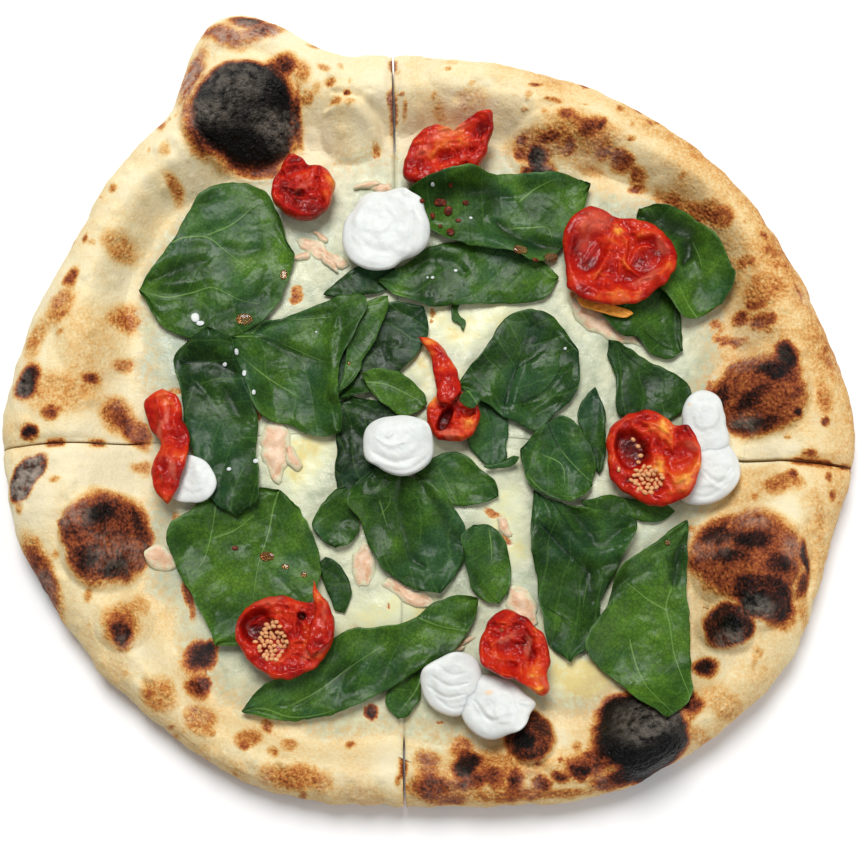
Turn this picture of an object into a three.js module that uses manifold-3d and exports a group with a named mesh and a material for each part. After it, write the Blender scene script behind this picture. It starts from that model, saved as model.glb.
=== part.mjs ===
// A white pizza, about 32 cm across, cut in quarters that still lie together: a thin
// base with a tall uneven rim, melted white cheese, spinach leaves laid loosely over
// each other, soft roasted tomatoes, salmon flakes and dollops of whipped cream cheese.
//
// Millimetres, +Z up. The underside lies flat at z = 0, and the origin is under the
// middle of the bounding box. The pizza's front edge faces -Y.

import * as THREE from 'three';
import Module from 'manifold-3d';

const wasm = await Module();
wasm.setup();

// ---------------------------------------------------------------- driving dimensions

// Places are measured from a point near the middle, and CENTRING then moves the whole so
// that the middle of its bounding box is over the origin.
const CENTRING = [0, -2];
const CUT_CENTRE = [-12, -12];   // where the two cuts cross
const BASE_THICKNESS = 4;
const CHEESE_THICKNESS = 1.8;
const CHEESE_EDGE = 0.9;         // where the cheese thins out against the rim
const TOUCH_GAP = 0.4;           // air left between pieces that lie on each other

// The rim, measured from the crossing of the cuts every 15 degrees, anticlockwise from +X.
const RIM_REACH = [174, 167, 164, 161, 157, 152, 152, 154, 155, 152, 146, 148,
  150, 149, 144, 142, 142, 142, 140, 145, 156, 163, 169, 168];
const RIM_FOOT = [128, 128, 139, 132, 120, 118, 114, 110, 116, 120, 115, 103,
  96, 97, 108, 116, 120, 117, 115, 123, 126, 137, 127, 119];
const RIM_HEIGHT = [19, 21, 20, 20, 21, 20, 20, 22, 23, 20, 19, 20,
  20, 20, 18, 18, 17, 17, 18, 18, 19, 20, 21, 21];
const CREST_PLACE = 0.56;        // how far across the rim its highest line runs
const FLAT_MARGIN = 11;          // how far in from the edge the underside leaves the floor
const BULGE_HEIGHT = 0.4;        // where the outside reaches furthest, as a share of height

// The pulled-out ear of dough beside the large charred bubble.
const EAR = { angle: 112.8, halfWidth: 15, reach: 27 };

// Blisters and bubbles that stand on the rim.
const BLISTERS = [
  { at: [-73, 109], radius: [23, 24], height: 7 },    // large charred bubble
  { at: [-34, 99], radius: [18, 10], height: 3 },     // pale fold beside it
  { at: [50, 99], radius: [19, 15], height: 4 },
  { at: [124, -3], radius: [19, 20], height: 4 },
  { at: [117, -67], radius: [22, 26], height: 5 },
  { at: [107, -89], radius: [11, 10], height: 3 },
  { at: [74, -128], radius: [15, 15], height: 4 },
  { at: [36, -127], radius: [9, 9], height: 5 },
  { at: [-119, -56], radius: [17, 20], height: 4 },
  { at: [-112, -87], radius: [11, 11], height: 3 },
  { at: [-128, 22], radius: [14, 18], height: 2 },
  { at: [12, 128], radius: [14, 10], height: 2 },
  { at: [112, 52], radius: [15, 20], height: 2 },
];

// Each quarter runs between two cuts and is pushed a little way out along its middle.
const QUARTERS = [
  { name: 'back_right', from: -5.8, to: 91.1, push: [0.45, 0.6] },
  { name: 'back_left', from: 91.1, to: 183.8, push: [-0.4, 0.35] },
  { name: 'front_left', from: 183.8, to: 271.2, push: [-0.4, -0.3] },
  { name: 'front_right', from: 271.2, to: 354.2, push: [0.45, -0.5] },
];
const QUARTER_STEPS = 24;
const CHEESE_STEPS = 16;
const CHEESE_RINGS = 5;

// Leaves are laid from stem to tip. The half-widths, left and right of that line, are
// taken at 10, 30, 50, 70 and 90 percent of the way. They lie in the order given.
const LEAF_THICKNESS = 0.7;
const LEAF_GRID = [6, 6];        // length of a row, width of a column
const LEAF_RIPPLES = 17;
const LEAF_STIFFNESS = 2;
const LEAVES_UNDER = [
  { stem: [-42, 41], tip: [-12, 50], left: [2, 4, 6, 6, 4], right: [2, 4, 5, 6, 4], ripple: 0.4 },
  { stem: [-30, 0], tip: [-30, -41], left: [15, 19, 20, 19, 13], right: [6, 6, 6, 6, 5], ripple: 0.6 },
  { stem: [-35, -2], tip: [-2, 35], left: [7, 13, 20, 17, 9], right: [4, 8, 10, 10, 7], ripple: 0.8 },
  { stem: [22, 0], tip: [24, -28], left: [7, 7, 7, 6, 5], right: [6, 9, 9, 8, 4], ripple: 0.5 },
  { stem: [11, 36], tip: [12, 26], left: [1, 2, 2, 2, 1.5], right: [1, 2, 2, 1.5, 1], ripple: 0 },
  { stem: [-21, 46], tip: [51, 48], left: [4, 13, 15, 13, 7], right: [6, 11, 11, 11, 9], ripple: 0.8 },
  { stem: [69, 22], tip: [100, -4], left: [2, 3, 4, 5, 5], right: [5, 10, 20, 18, 12], ripple: 0.6 },
  { stem: [57, -41], tip: [93, -45], left: [1.5, 4, 3.5, 3, 3], right: [3, 5, 5, 5, 4], ripple: 0.4 },
  { stem: [66, 33], tip: [98, 18], left: [4, 13, 20, 18, 8], right: [2, 5, 3, 7, 5], ripple: 0.8 },
  { stem: [-2, -103], tip: [-12, -122], left: [1.5, 2, 4, 4, 3], right: [3, 5, 6.5, 8, 6], ripple: 0.4 },
  { stem: [-37, -67], tip: [-32, -83], left: [2, 3, 5, 5, 2], right: [3, 3, 3, 3, 3], ripple: 0.3 },
  { stem: [-32, -36], tip: [-36, -59], left: [2, 5, 8, 8, 5], right: [4, 7, 9, 10, 5], ripple: 0.8 },
  { stem: [-35, 0], tip: [-16, 40], left: [1, 3, 7, 10, 5], right: [2, 3, 3, 3, 2], ripple: 0.5 },
];
const LEAVES_OVER = [
  { stem: [-26, 7], tip: [-1, -4], left: [4, 6, 7, 6, 4], right: [2, 5, 7, 8, 5], ripple: 0.7 },
  { stem: [-113, 42], tip: [-53, 56], left: [7, 20, 33, 36, 29], right: [17, 24, 27, 24, 13], ripple: 1.4 },
  { stem: [-57, -36], tip: [-79, -96], left: [12, 24, 27, 23, 12], right: [16, 29, 33, 21, 6], ripple: 1.3 },
  { stem: [-86, 26], tip: [-71, -48], left: [10, 11, 13, 10, 9], right: [14, 14, 15, 12, 8], ripple: 1.5 },
  { stem: [-76, 21], tip: [-33, -15], left: [14, 36, 46, 17, 5], right: [4, 10, 15, 10, 7], ripple: 1.0 },
  { stem: [10, 3], tip: [57, 17], left: [4, 11, 20, 22, 16], right: [5, 16, 25, 20, 15], ripple: 1.2 },
  { stem: [-9, 82], tip: [63, 86], left: [2, 5, 5, 4, 3], right: [15, 23, 27, 32, 19], ripple: 1.6 },
  { stem: [82, 75], tip: [113, 35], left: [9, 14, 15, 13, 10], right: [5, 10, 14, 15, 15], ripple: 1.2 },
  { stem: [64, 3], tip: [64, -30], left: [1.5, 3.5, 3, 3, 1.5], right: [4, 8, 6.5, 4.5, 2], ripple: 0.6 },
  { stem: [39, -37], tip: [52, -101], left: [8, 35, 26, 16, 10], right: [2, 5, 6, 7, 6], ripple: 1.4 },
  { stem: [34, -21], tip: [62, -35], left: [9, 19, 18, 14, 8], right: [4, 9, 10, 10, 7], ripple: 1.1 },
  { stem: [96, -48], tip: [84, -121], left: [2, 3, 6, 9, 8], right: [7, 22, 25, 31, 14], ripple: 1.2 },
  { stem: [-6, -31], tip: [26, -39], left: [5, 12, 12, 9, 5], right: [2, 5, 7, 6, 3], ripple: 0.8 },
  { stem: [-22, -29], tip: [4, -76], left: [7, 17, 20, 20, 12], right: [13, 14, 15, 14, 7], ripple: 1.1 },
  { stem: [16, -50], tip: [26, -80], left: [7, 9, 9, 8, 4], right: [6, 7, 8, 8, 5], ripple: 0.8 },
  { stem: [-70, -119], tip: [19, -78], left: [4, 7, 10, 4, 6], right: [8, 15, 16, 14, 10], ripple: 1.2 },
];

// Thin salmon flakes that lie in the cheese.
const FLAKE_THICKNESS = 1.6;
const FLAKE_GRID = [6, 5];
const FLAKES = [
  { stem: [-52, 64], tip: [-32, 52], left: [3, 4, 3, 2, 2], right: [2, 3, 4, 3, 2] },
  { stem: [-27, 86], tip: [-13, 83], left: [2, 3, 2, 3, 2], right: [2, 2, 3, 2, 2] },
  { stem: [-60, -8], tip: [-58, -34], left: [3, 6, 5, 5, 3], right: [3, 5, 6, 5, 3] },
  { stem: [-26, -56], tip: [-21, -72], left: [3, 4, 5, 4, 3], right: [3, 4, 4, 4, 3] },
  { stem: [-15, -70], tip: [2, -81], left: [3, 4, 4, 3, 2], right: [3, 4, 3, 3, 2] },
  { stem: [3, -101], tip: [16, -92], left: [1.5, 2, 2, 2, 1.5], right: [2, 2, 2, 2, 1.5] },
  { stem: [31, -72], tip: [38, -90], left: [3, 5, 6, 5, 4], right: [3, 5, 5, 5, 3] },
  { stem: [53, 38], tip: [82, 20], left: [3, 4, 4, 4, 2], right: [3, 4, 5, 4, 2] },
  { stem: [-107, -59], tip: [-95, -66], left: [3, 5, 5, 4, 3], right: [3, 4, 5, 4, 3] },
];

// Mounds are round pieces: twelve radii every 30 degrees from +X, and, from the middle
// out, how far along the radius each ring lies, how far it is clear of what carries it,
// and how thick the piece is there.
const BALL_RINGS = [[0, 0, 12], [0.5, 0, 11.4], [0.85, 1.2, 6.6], [1, 3.4, 1.6]];
const WEDGE_RINGS = [[0, 0, 12], [0.5, 0, 10], [0.85, 1, 6], [1, 3, 1.6]];
const CUP_RINGS = [[0, 0, 4], [0.55, 0, 4.6], [0.82, 1.4, 9], [1, 4.5, 2.2]];
const SHALLOW_CUP_RINGS = [[0, 0, 4], [0.5, 0, 4], [0.8, 0.8, 8], [1, 3, 1.8]];
const DOLLOP_RINGS = [[0, 0, 14], [0.38, 0, 12.5], [0.75, 0.3, 8.5], [1, 2.2, 1.6]];
const SMEAR_RINGS = [[0, 0, 4], [0.45, 0, 3.8], [0.8, 0, 2.6], [1, 0.4, 0.8]];

const TOMATO_BALL = { at: [-48, 81], radii: [12, 13, 12, 12, 13, 13, 12, 12, 13, 14, 14, 13],
  rings: BALL_RINGS };
const TOMATO_WEDGE = { at: [8, 98], radii: [17, 19, 12, 11, 12, 14, 18, 21, 16, 12, 12, 16],
  rings: WEDGE_RINGS };
const TOMATO_HEART = { at: [75, 55], radii: [20, 20, 18, 18, 21, 21, 21, 22, 20, 20, 19, 19],
  rings: CUP_RINGS };
const TOMATO_CURLED = { at: [84, -25], radii: [17, 18, 15, 17, 17, 17, 17, 16, 15, 17, 17, 17],
  rings: CUP_RINGS };
const TOMATO_RING = { at: [-53, -92], radii: [18, 17, 14, 13, 15, 18, 19, 19, 17, 16, 16, 17],
  rings: SHALLOW_CUP_RINGS };
const TOMATO_CHUNK = { at: [32, -98], radii: [11, 12, 12, 14, 15, 14, 13, 12, 11, 12, 17, 15],
  rings: WEDGE_RINGS };
const TOMATO_CUP = { at: [9, -9], radii: [10, 8, 8, 8, 9, 9, 8, 9, 9, 9, 9, 10],
  rings: SHALLOW_CUP_RINGS };

// Long strips of roasted tomato, given as leaves are but thicker in the middle.
const STRIP_GRID = [6, 4];
const STRIP_EDGE = 0.9;
const STRIP_STIFFNESS = 3;
const STRIP_THICKNESS = 7;
const TOMATO_STRIP = { stem: [-102, 2], tip: [-98, -43], left: [6, 7, 9, 7, 4],
  right: [7, 6, 2, 5, 4] };
const TWIST_THICKNESS = 5;
const TOMATO_TWIST = { stem: [-4, 20], tip: [8, -6], left: [4, 6.5, 7, 6.5, 5],
  right: [0, -2.5, -2, 1.5, 3] };
const TAIL_THICKNESS = 4;
const TOMATO_TAIL = { stem: [-39, -73], tip: [-42, -90], left: [1, 2, 3, 4, 4],
  right: [1, 2, 3, 4, 4] };

// Seeds that show in the open halves.
const SEED_RADIUS = 1.3;
const RING_SEEDS = { around: [-58, -92], spread: [5.2, 6], count: 9 };
const CURLED_SEEDS = { around: [81, -31], spread: [5, 4], count: 7 };

// Dollops of whipped cream cheese; those of one list have run together.
const DOLLOPS = [
  [{ at: [-17, 65], radii: [17, 17, 16, 16, 15, 15, 16, 17, 17, 16, 15, 16], rings: DOLLOP_RINGS }],
  [{ at: [-12, -21], radii: [13, 13, 12, 12, 12, 13, 13, 12, 11, 12, 12, 13], rings: DOLLOP_RINGS }],
  [{ at: [105, -9], radii: [8, 9, 10, 10, 9, 9, 9, 9, 10, 10, 9, 8], rings: DOLLOP_RINGS },
    { at: [107, -28], radii: [10, 10, 10, 10, 9, 8, 8, 9, 11, 11, 10, 10], rings: DOLLOP_RINGS }],
  [{ at: [12, -111], radii: [12, 12, 11, 12, 13, 13, 14, 13, 12, 11, 11, 12], rings: DOLLOP_RINGS },
    { at: [26, -118], radii: [13, 12, 12, 11, 12, 12, 12, 12, 12, 11, 12, 13], rings: DOLLOP_RINGS }],
  [{ at: [-89, -34], radii: [8, 8, 9, 9, 8, 8, 9, 8, 7, 7, 7, 8], rings: SMEAR_RINGS }],
];
const SWIRL_DEPTH = 1.1;
const SWIRL_TURN = 9;            // how far a swirl winds round from the middle to the edge
const MOUND_SPOKES = 14;
const MOUND_STIFFNESS = 6;

const FINISHES = {
  dough: { color: 0xdcb980, roughness: 0.85 },
  cheese: { color: 0xe9e6cf, roughness: 0.35 },
  spinach: { color: 0x2c5a25, roughness: 0.4 },
  tomato: { color: 0xb3231a, roughness: 0.3 },
  salmon: { color: 0xe3b79c, roughness: 0.5 },
  cream: { color: 0xf4f3ee, roughness: 0.45 },
};

// ---------------------------------------------------------------- shared shapes

const pizza = new THREE.Group();
pizza.position.set(...CENTRING, 0);
const materials = {};
for (const [slot, look] of Object.entries(FINISHES)) {
  materials[slot] = new THREE.MeshStandardMaterial({ ...look, metalness: 0 });
}

// Value at an angle on the smooth closed curve through evenly spaced values.
function around(values, degrees) {
  const count = values.length;
  const place = (((degrees % 360) + 360) % 360) / 360 * count;
  const first = Math.floor(place);
  const t = place - first;
  const [a, b, c, d] = [-1, 0, 1, 2].map((k) => values[(first + k + count) % count]);
  const slope = (c - a) / 2;
  const nextSlope = (d - b) / 2;
  return b + t * (slope + t * (3 * (c - b) - 2 * slope - nextSlope
    + t * (2 * (b - c) + slope + nextSlope)));
}

// A mesh from corner points and triangles, without those that have shrunk to nothing.
function geometryOf(points, faces) {
  const same = (a, b) => a.distanceToSquared(b) < 1e-8;
  const kept = faces.filter(([a, b, c]) => !same(points[a], points[b])
    && !same(points[b], points[c]) && !same(points[c], points[a]));
  const flat = kept.flatMap((face) => face.flatMap((corner) => points[corner].toArray()));
  const geometry = new THREE.BufferGeometry();
  geometry.setAttribute('position', new THREE.Float32BufferAttribute(flat, 3));
  geometry.computeVertexNormals();
  return geometry;
}

function addPiece(name, slot, geometry) {
  const mesh = new THREE.Mesh(geometry, materials[slot]);
  mesh.name = name;
  pizza.add(mesh);
  return mesh;
}

// Solids that run into each other, joined to one.
function joined(geometries) {
  const solids = geometries.map((geometry) => {
    const points = geometry.getAttribute('position');
    const known = new Map();
    const corners = [];
    const triangles = [];
    for (let i = 0; i < points.count; i += 1) {
      const corner = [points.getX(i), points.getY(i), points.getZ(i)];
      const key = corner.map((value) => value.toFixed(3)).join(' ');
      if (!known.has(key)) {
        known.set(key, corners.length / 3);
        corners.push(...corner);
      }
      triangles.push(known.get(key));
    }
    return new wasm.Manifold(new wasm.Mesh({
      numProp: 3,
      vertProperties: new Float32Array(corners),
      triVerts: new Uint32Array(triangles),
    }));
  });
  const whole = solids.reduce((sum, solid) => sum.add(solid)).simplify(0.02);
  const result = whole.getMesh();
  const points = [];
  for (let i = 0; i < result.vertProperties.length; i += result.numProp) {
    points.push(new THREE.Vector3(...result.vertProperties.slice(i, i + 3)));
  }
  const faces = [];
  for (let i = 0; i < result.triVerts.length; i += 3) {
    faces.push([...result.triVerts.slice(i, i + 3)]);
  }
  return geometryOf(points, faces);
}

// ---------------------------------------------------------------- dough and cheese

function blisterHeight(x, y) {
  let height = 0;
  for (const { at, radius, height: top } of BLISTERS) {
    const away = Math.hypot((x - at[0]) / radius[0], (y - at[1]) / radius[1]);
    if (away < 1) {
      height = Math.max(height, top * (1 - away * away));
    }
  }
  return height;
}

function earReach(degrees) {
  const turn = (degrees - EAR.angle) / EAR.halfWidth;
  return Math.abs(turn) < 1 ? EAR.reach * Math.cos(turn * Math.PI / 2) ** 2 : 0;
}

// The outline of a cut through the dough at one angle: along the underside to the edge,
// up round the outside, over the crest and down the inner slope to the flat base.
function doughSection(degrees) {
  const foot = around(RIM_FOOT, degrees);
  const reach = around(RIM_REACH, degrees) + earReach(degrees);
  const height = around(RIM_HEIGHT, degrees);
  const crest = foot + (reach - foot) * CREST_PLACE;
  const bulge = height * BULGE_HEIGHT;
  const section = [[0, 0], [foot, 0]];
  for (const turn of [0, 35, 65, 90]) {
    const lean = THREE.MathUtils.degToRad(turn);
    section.push([reach - FLAT_MARGIN * (1 - Math.sin(lean)), bulge * (1 - Math.cos(lean))]);
  }
  for (const turn of [35, 65, 90]) {
    const lean = THREE.MathUtils.degToRad(turn);
    section.push([crest + (reach - crest) * Math.cos(lean),
      bulge + (height - bulge) * Math.sin(lean)]);
  }
  for (const share of [0.22, 0.45, 0.7, 1]) {
    const drop = 0.5 - 0.5 * Math.cos(Math.PI * share);
    section.push([crest + (foot - crest) * share, height + (BASE_THICKNESS - height) * drop]);
  }
  section.push([foot * 0.5, BASE_THICKNESS], [0, BASE_THICKNESS]);
  return section;
}

// A section of the dough, or of the cheese on it, stood up at its angle.
function standUp(section, degrees, push, lift) {
  const turn = THREE.MathUtils.degToRad(degrees);
  return section.map(([far, z]) => {
    const x = CUT_CENTRE[0] + push[0] + far * Math.cos(turn);
    const y = CUT_CENTRE[1] + push[1] + far * Math.sin(turn);
    return new THREE.Vector3(x, y, z + lift(x, y, z));
  });
}

// A wedge swept from one cut to the next through like sections, closed by the cut faces.
function wedge({ from, to, push }, steps, sectionAt, lift) {
  const points = [];
  const faces = [];
  let size = 0;
  for (let step = 0; step <= steps; step += 1) {
    const degrees = from + (to - from) * step / steps;
    const section = sectionAt(degrees);
    size = section.length;
    points.push(...standUp(section, degrees, push, lift));
    if (step === 0 || step === steps) {
      const contour = section.map(([far, z]) => new THREE.Vector2(far, z));
      for (const face of THREE.ShapeUtils.triangulateShape(contour, [])) {
        const cut = face.map((corner) => corner + step * size);
        faces.push(step === 0 ? cut : cut.reverse());
      }
    }
  }
  for (let step = 0; step < steps; step += 1) {
    for (let k = 0; k < size; k += 1) {
      const a = step * size + k;
      const b = step * size + (k + 1) % size;
      faces.push([a, a + size, b + size], [a, b + size, b]);
    }
  }
  return geometryOf(points, faces);
}

function doughQuarter(quarter) {
  const lift = (x, y, z) => (z > BASE_THICKNESS + 2 ? blisterHeight(x, y) : 0);
  return wedge(quarter, QUARTER_STEPS, doughSection, lift);
}

// Low swells and hollows of the melted cheese.
function cheeseSwell(x, y) {
  return 0.45 * Math.sin(0.13 * x + 1) * Math.cos(0.11 * y - 0.5) + 0.2 * Math.sin(0.29 * x - 0.21 * y);
}

function cheeseSection(degrees) {
  const foot = around(RIM_FOOT, degrees) - 1;
  const bottom = BASE_THICKNESS + TOUCH_GAP;
  const top = bottom + CHEESE_THICKNESS;
  const section = [[0, bottom], [foot, bottom], [foot, bottom + CHEESE_EDGE]];
  for (let ring = 0; ring < CHEESE_RINGS; ring += 1) {
    section.push([(foot - 3) * (1 - ring / CHEESE_RINGS), top]);
  }
  section.push([0, top]);
  return section;
}

function cheeseQuarter(quarter) {
  const surface = BASE_THICKNESS + TOUCH_GAP + CHEESE_EDGE;
  const lift = (x, y, z) => (z > surface + TOUCH_GAP ? cheeseSwell(x, y) : 0);
  return wedge(quarter, CHEESE_STEPS, cheeseSection, lift);
}

// ---------------------------------------------------------------- laying pieces down

// The highest surface laid so far, kept on a square grid of one-millimetre cells.
const FIELD_HALF = 175;
const FIELD_SIZE = 2 * FIELD_HALF + 1;
const field = new Float32Array(FIELD_SIZE * FIELD_SIZE);
const cellAt = (x, y) => (Math.round(y) + FIELD_HALF) * FIELD_SIZE + Math.round(x) + FIELD_HALF;

// Calls visit(x, y, weights) for each grid point under a triangle.
function overTriangle(a, b, c, visit) {
  const area = (b.x - a.x) * (c.y - a.y) - (c.x - a.x) * (b.y - a.y);
  if (Math.abs(area) < 1e-9) {
    return;
  }
  for (let y = Math.ceil(Math.min(a.y, b.y, c.y)); y <= Math.max(a.y, b.y, c.y); y += 1) {
    for (let x = Math.ceil(Math.min(a.x, b.x, c.x)); x <= Math.max(a.x, b.x, c.x); x += 1) {
      const wb = ((x - a.x) * (c.y - a.y) - (c.x - a.x) * (y - a.y)) / area;
      const wc = ((b.x - a.x) * (y - a.y) - (x - a.x) * (b.y - a.y)) / area;
      const wa = 1 - wb - wc;
      if (wa >= -1e-6 && wb >= -1e-6 && wc >= -1e-6) {
        visit(x, y, [wa, wb, wc]);
      }
    }
  }
}

function raiseField(geometry) {
  const points = geometry.getAttribute('position');
  const corners = [0, 1, 2].map(() => new THREE.Vector3());
  for (let i = 0; i < points.count; i += 3) {
    corners.forEach((corner, k) => corner.fromBufferAttribute(points, i + k));
    const [a, b, c] = corners;
    overTriangle(a, b, c, (x, y, [wa, wb, wc]) => {
      const cell = cellAt(x, y);
      field[cell] = Math.max(field[cell], wa * a.z + wb * b.z + wc * c.z);
    });
  }
}

// What a piece over this point has to clear: the highest of the nearest cells.
function supportAt(x, y) {
  let highest = 0;
  for (let dy = -1; dy <= 1; dy += 1) {
    for (let dx = -1; dx <= 1; dx += 1) {
      highest = Math.max(highest, field[cellAt(x + dx, y + dy)]);
    }
  }
  return highest + TOUCH_GAP;
}

function neighboursOf(sheet) {
  const next = sheet.plan.map(() => new Set());
  for (const [a, b, c] of sheet.faces) {
    next[a].add(b).add(c);
    next[b].add(a).add(c);
    next[c].add(a).add(b);
  }
  return next.map((set) => [...set]);
}

// Heights of a sheet's underside once it has been laid on what is there. A stiff piece
// bridges hollows, a limp one sinks into them.
function laidHeights(sheet, stiffness) {
  const heights = sheet.plan.map((point) => supportAt(point.x, point.y));
  const next = neighboursOf(sheet);
  for (let round = 0; round < stiffness; round += 1) {
    const means = next.map((list) => list.reduce((sum, k) => sum + heights[k], 0) / list.length);
    means.forEach((mean, k) => {
      heights[k] = Math.max(heights[k], mean);
    });
  }
  for (let round = 0; round < 30; round += 1) {
    let worst = 0;
    for (const face of sheet.faces) {
      const corners = face.map((k) => sheet.plan[k]);
      overTriangle(...corners, (x, y, weights) => {
        const height = weights.reduce((sum, weight, k) => sum + weight * heights[face[k]], 0);
        const short = supportAt(x, y) - height;
        if (short > 0.01) {
          worst = Math.max(worst, short);
          face.forEach((corner) => {
            heights[corner] += short * 0.7;
          });
        }
      });
    }
    if (worst < 0.02) {
      break;
    }
  }
  return heights;
}

// A closed solid over a flat plan: the underside lies as laid plus each point's lift,
// and the top, split into triangles alike, is its thickness above that.
function sheetSolid(sheet, stiffness) {
  const heights = laidHeights(sheet, stiffness);
  const count = sheet.plan.length;
  const points = [];
  for (const level of [0, 1]) {
    sheet.plan.forEach((point, k) => {
      const z = heights[k] + sheet.lift[k] + level * sheet.thickness[k];
      points.push(new THREE.Vector3(point.x, point.y, z));
    });
  }
  const faces = [];
  for (const [a, b, c] of sheet.faces) {
    faces.push([a + count, b + count, c + count], [a, c, b]);
  }
  sheet.border.forEach((a, k) => {
    const b = sheet.border[(k + 1) % sheet.border.length];
    faces.push([a, b, b + count], [a, b + count, a + count]);
  });
  return geometryOf(points, faces);
}

// The smooth edge of a long piece on one side, through its half-widths.
const STATIONS = [0.1, 0.3, 0.5, 0.7, 0.9];
function sideCurve({ stem, tip }, widths, side) {
  const start = new THREE.Vector2(...stem);
  const end = new THREE.Vector2(...tip);
  const along = end.clone().sub(start);
  const across = new THREE.Vector2(-along.y, along.x).normalize().multiplyScalar(side);
  const places = STATIONS.map((share, k) => start.clone().addScaledVector(along, share)
    .addScaledVector(across, widths[k]));
  const points = [start, ...places, end].map((p) => new THREE.Vector3(p.x, p.y, 0));
  return new THREE.CatmullRomCurve3(points, false, 'centripetal');
}

// The flat plan of a leaf, flake or strip: rows from stem to tip, columns across.
function longPlan(piece, [rowLength, columnWidth]) {
  const length = Math.hypot(piece.tip[0] - piece.stem[0], piece.tip[1] - piece.stem[1]);
  const width = Math.max(...piece.left) + Math.max(...piece.right);
  const rows = Math.max(4, Math.round(length / rowLength));
  const columns = Math.max(3, Math.round(width / columnWidth) + 1);
  const leftEdge = sideCurve(piece, piece.left, 1);
  const rightEdge = sideCurve(piece, piece.right, -1);
  const plan = [leftEdge.getPoint(0)];
  const along = [0];
  const across = [0.5];
  for (let row = 1; row < rows; row += 1) {
    const left = leftEdge.getPoint(row / rows);
    const right = rightEdge.getPoint(row / rows);
    for (let column = 0; column < columns; column += 1) {
      plan.push(right.clone().lerp(left, column / (columns - 1)));
      along.push(row / rows);
      across.push(column / (columns - 1));
    }
  }
  plan.push(leftEdge.getPoint(1));
  along.push(1);
  across.push(0.5);
  const at = (row, column) => 1 + (row - 1) * columns + column;
  const last = plan.length - 1;
  const faces = [];
  const border = [0];
  for (let column = 0; column < columns - 1; column += 1) {
    faces.push([0, at(1, column), at(1, column + 1)]);
    for (let row = 1; row < rows - 1; row += 1) {
      faces.push([at(row, column), at(row + 1, column), at(row + 1, column + 1)],
        [at(row, column), at(row + 1, column + 1), at(row, column + 1)]);
    }
    faces.push([at(rows - 1, column), last, at(rows - 1, column + 1)]);
  }
  for (let row = 1; row < rows; row += 1) {
    border.push(at(row, 0));
  }
  border.push(last);
  for (let row = rows - 1; row > 0; row -= 1) {
    border.push(at(row, columns - 1));
  }
  return { plan, faces, border, along, across };
}

// ---------------------------------------------------------------- toppings

// A thin leaf, higher at its edges and rippled along them.
function leaf(piece) {
  const sheet = longPlan(piece, LEAF_GRID);
  sheet.lift = sheet.along.map((u, k) => {
    const v = 2 * sheet.across[k] - 1;
    const edge = Math.max(Math.abs(v), Math.abs(2 * u - 1)) ** 2;
    const wave = Math.sin(LEAF_RIPPLES * u + 5 * v + piece.stem[0]);
    return piece.ripple * (0.25 + edge * (0.8 + 0.6 * wave));
  });
  sheet.thickness = sheet.plan.map(() => LEAF_THICKNESS);
  return sheetSolid(sheet, LEAF_STIFFNESS);
}

function flake(piece) {
  const sheet = longPlan(piece, FLAKE_GRID);
  sheet.lift = sheet.plan.map(() => 0);
  sheet.thickness = sheet.along.map((u, k) => {
    const v = 2 * sheet.across[k] - 1;
    return FLAKE_THICKNESS * (1 - 0.5 * v * v) * (0.55 + 0.45 * Math.sin(Math.PI * u));
  });
  return sheetSolid(sheet, LEAF_STIFFNESS);
}

// A long rounded piece, with low wrinkles across it.
function strip(piece, thickness) {
  const sheet = longPlan(piece, STRIP_GRID);
  const roundness = sheet.along.map((u, k) => {
    const v = 2 * sheet.across[k] - 1;
    const end = Math.min(1, Math.sqrt(4.5 * Math.min(u, 1 - u)));
    return end * Math.sqrt(Math.max(0, 1 - v * v));
  });
  sheet.lift = roundness.map((share) => 0.35 * thickness * (1 - share));
  sheet.thickness = roundness.map((share, k) => {
    const wrinkle = 0.88 + 0.12 * Math.sin(22 * sheet.along[k]);
    return STRIP_EDGE + (thickness - STRIP_EDGE) * share * wrinkle;
  });
  return sheetSolid(sheet, STRIP_STIFFNESS);
}

// A round piece: spokes from the middle out, rings as the piece's kind gives them.
function mound({ at, radii, rings }, swirl) {
  const plan = [new THREE.Vector3(at[0], at[1], 0)];
  const lift = [rings[0][1]];
  const thickness = [rings[0][2]];
  for (const [share, clear, depth] of rings.slice(1)) {
    for (let spoke = 0; spoke < MOUND_SPOKES; spoke += 1) {
      const degrees = 360 * spoke / MOUND_SPOKES;
      const turn = THREE.MathUtils.degToRad(degrees);
      const far = around(radii, degrees) * share;
      plan.push(new THREE.Vector3(at[0] + far * Math.cos(turn), at[1] + far * Math.sin(turn), 0));
      lift.push(clear);
      const wave = swirl * Math.sin(turn + share * SWIRL_TURN) * share * (1 - share) * 4;
      thickness.push(depth + wave);
    }
  }
  const point = (ring, spoke) => 1 + (ring - 1) * MOUND_SPOKES + (spoke % MOUND_SPOKES);
  const faces = [];
  const border = [];
  for (let spoke = 0; spoke < MOUND_SPOKES; spoke += 1) {
    faces.push([0, point(1, spoke), point(1, spoke + 1)]);
    for (let ring = 1; ring < rings.length - 1; ring += 1) {
      faces.push([point(ring, spoke), point(ring + 1, spoke), point(ring + 1, spoke + 1)],
        [point(ring, spoke), point(ring + 1, spoke + 1), point(ring, spoke + 1)]);
    }
    border.push(point(rings.length - 1, spoke));
  }
  return sheetSolid({ plan, faces, border, lift, thickness }, MOUND_STIFFNESS);
}

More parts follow.
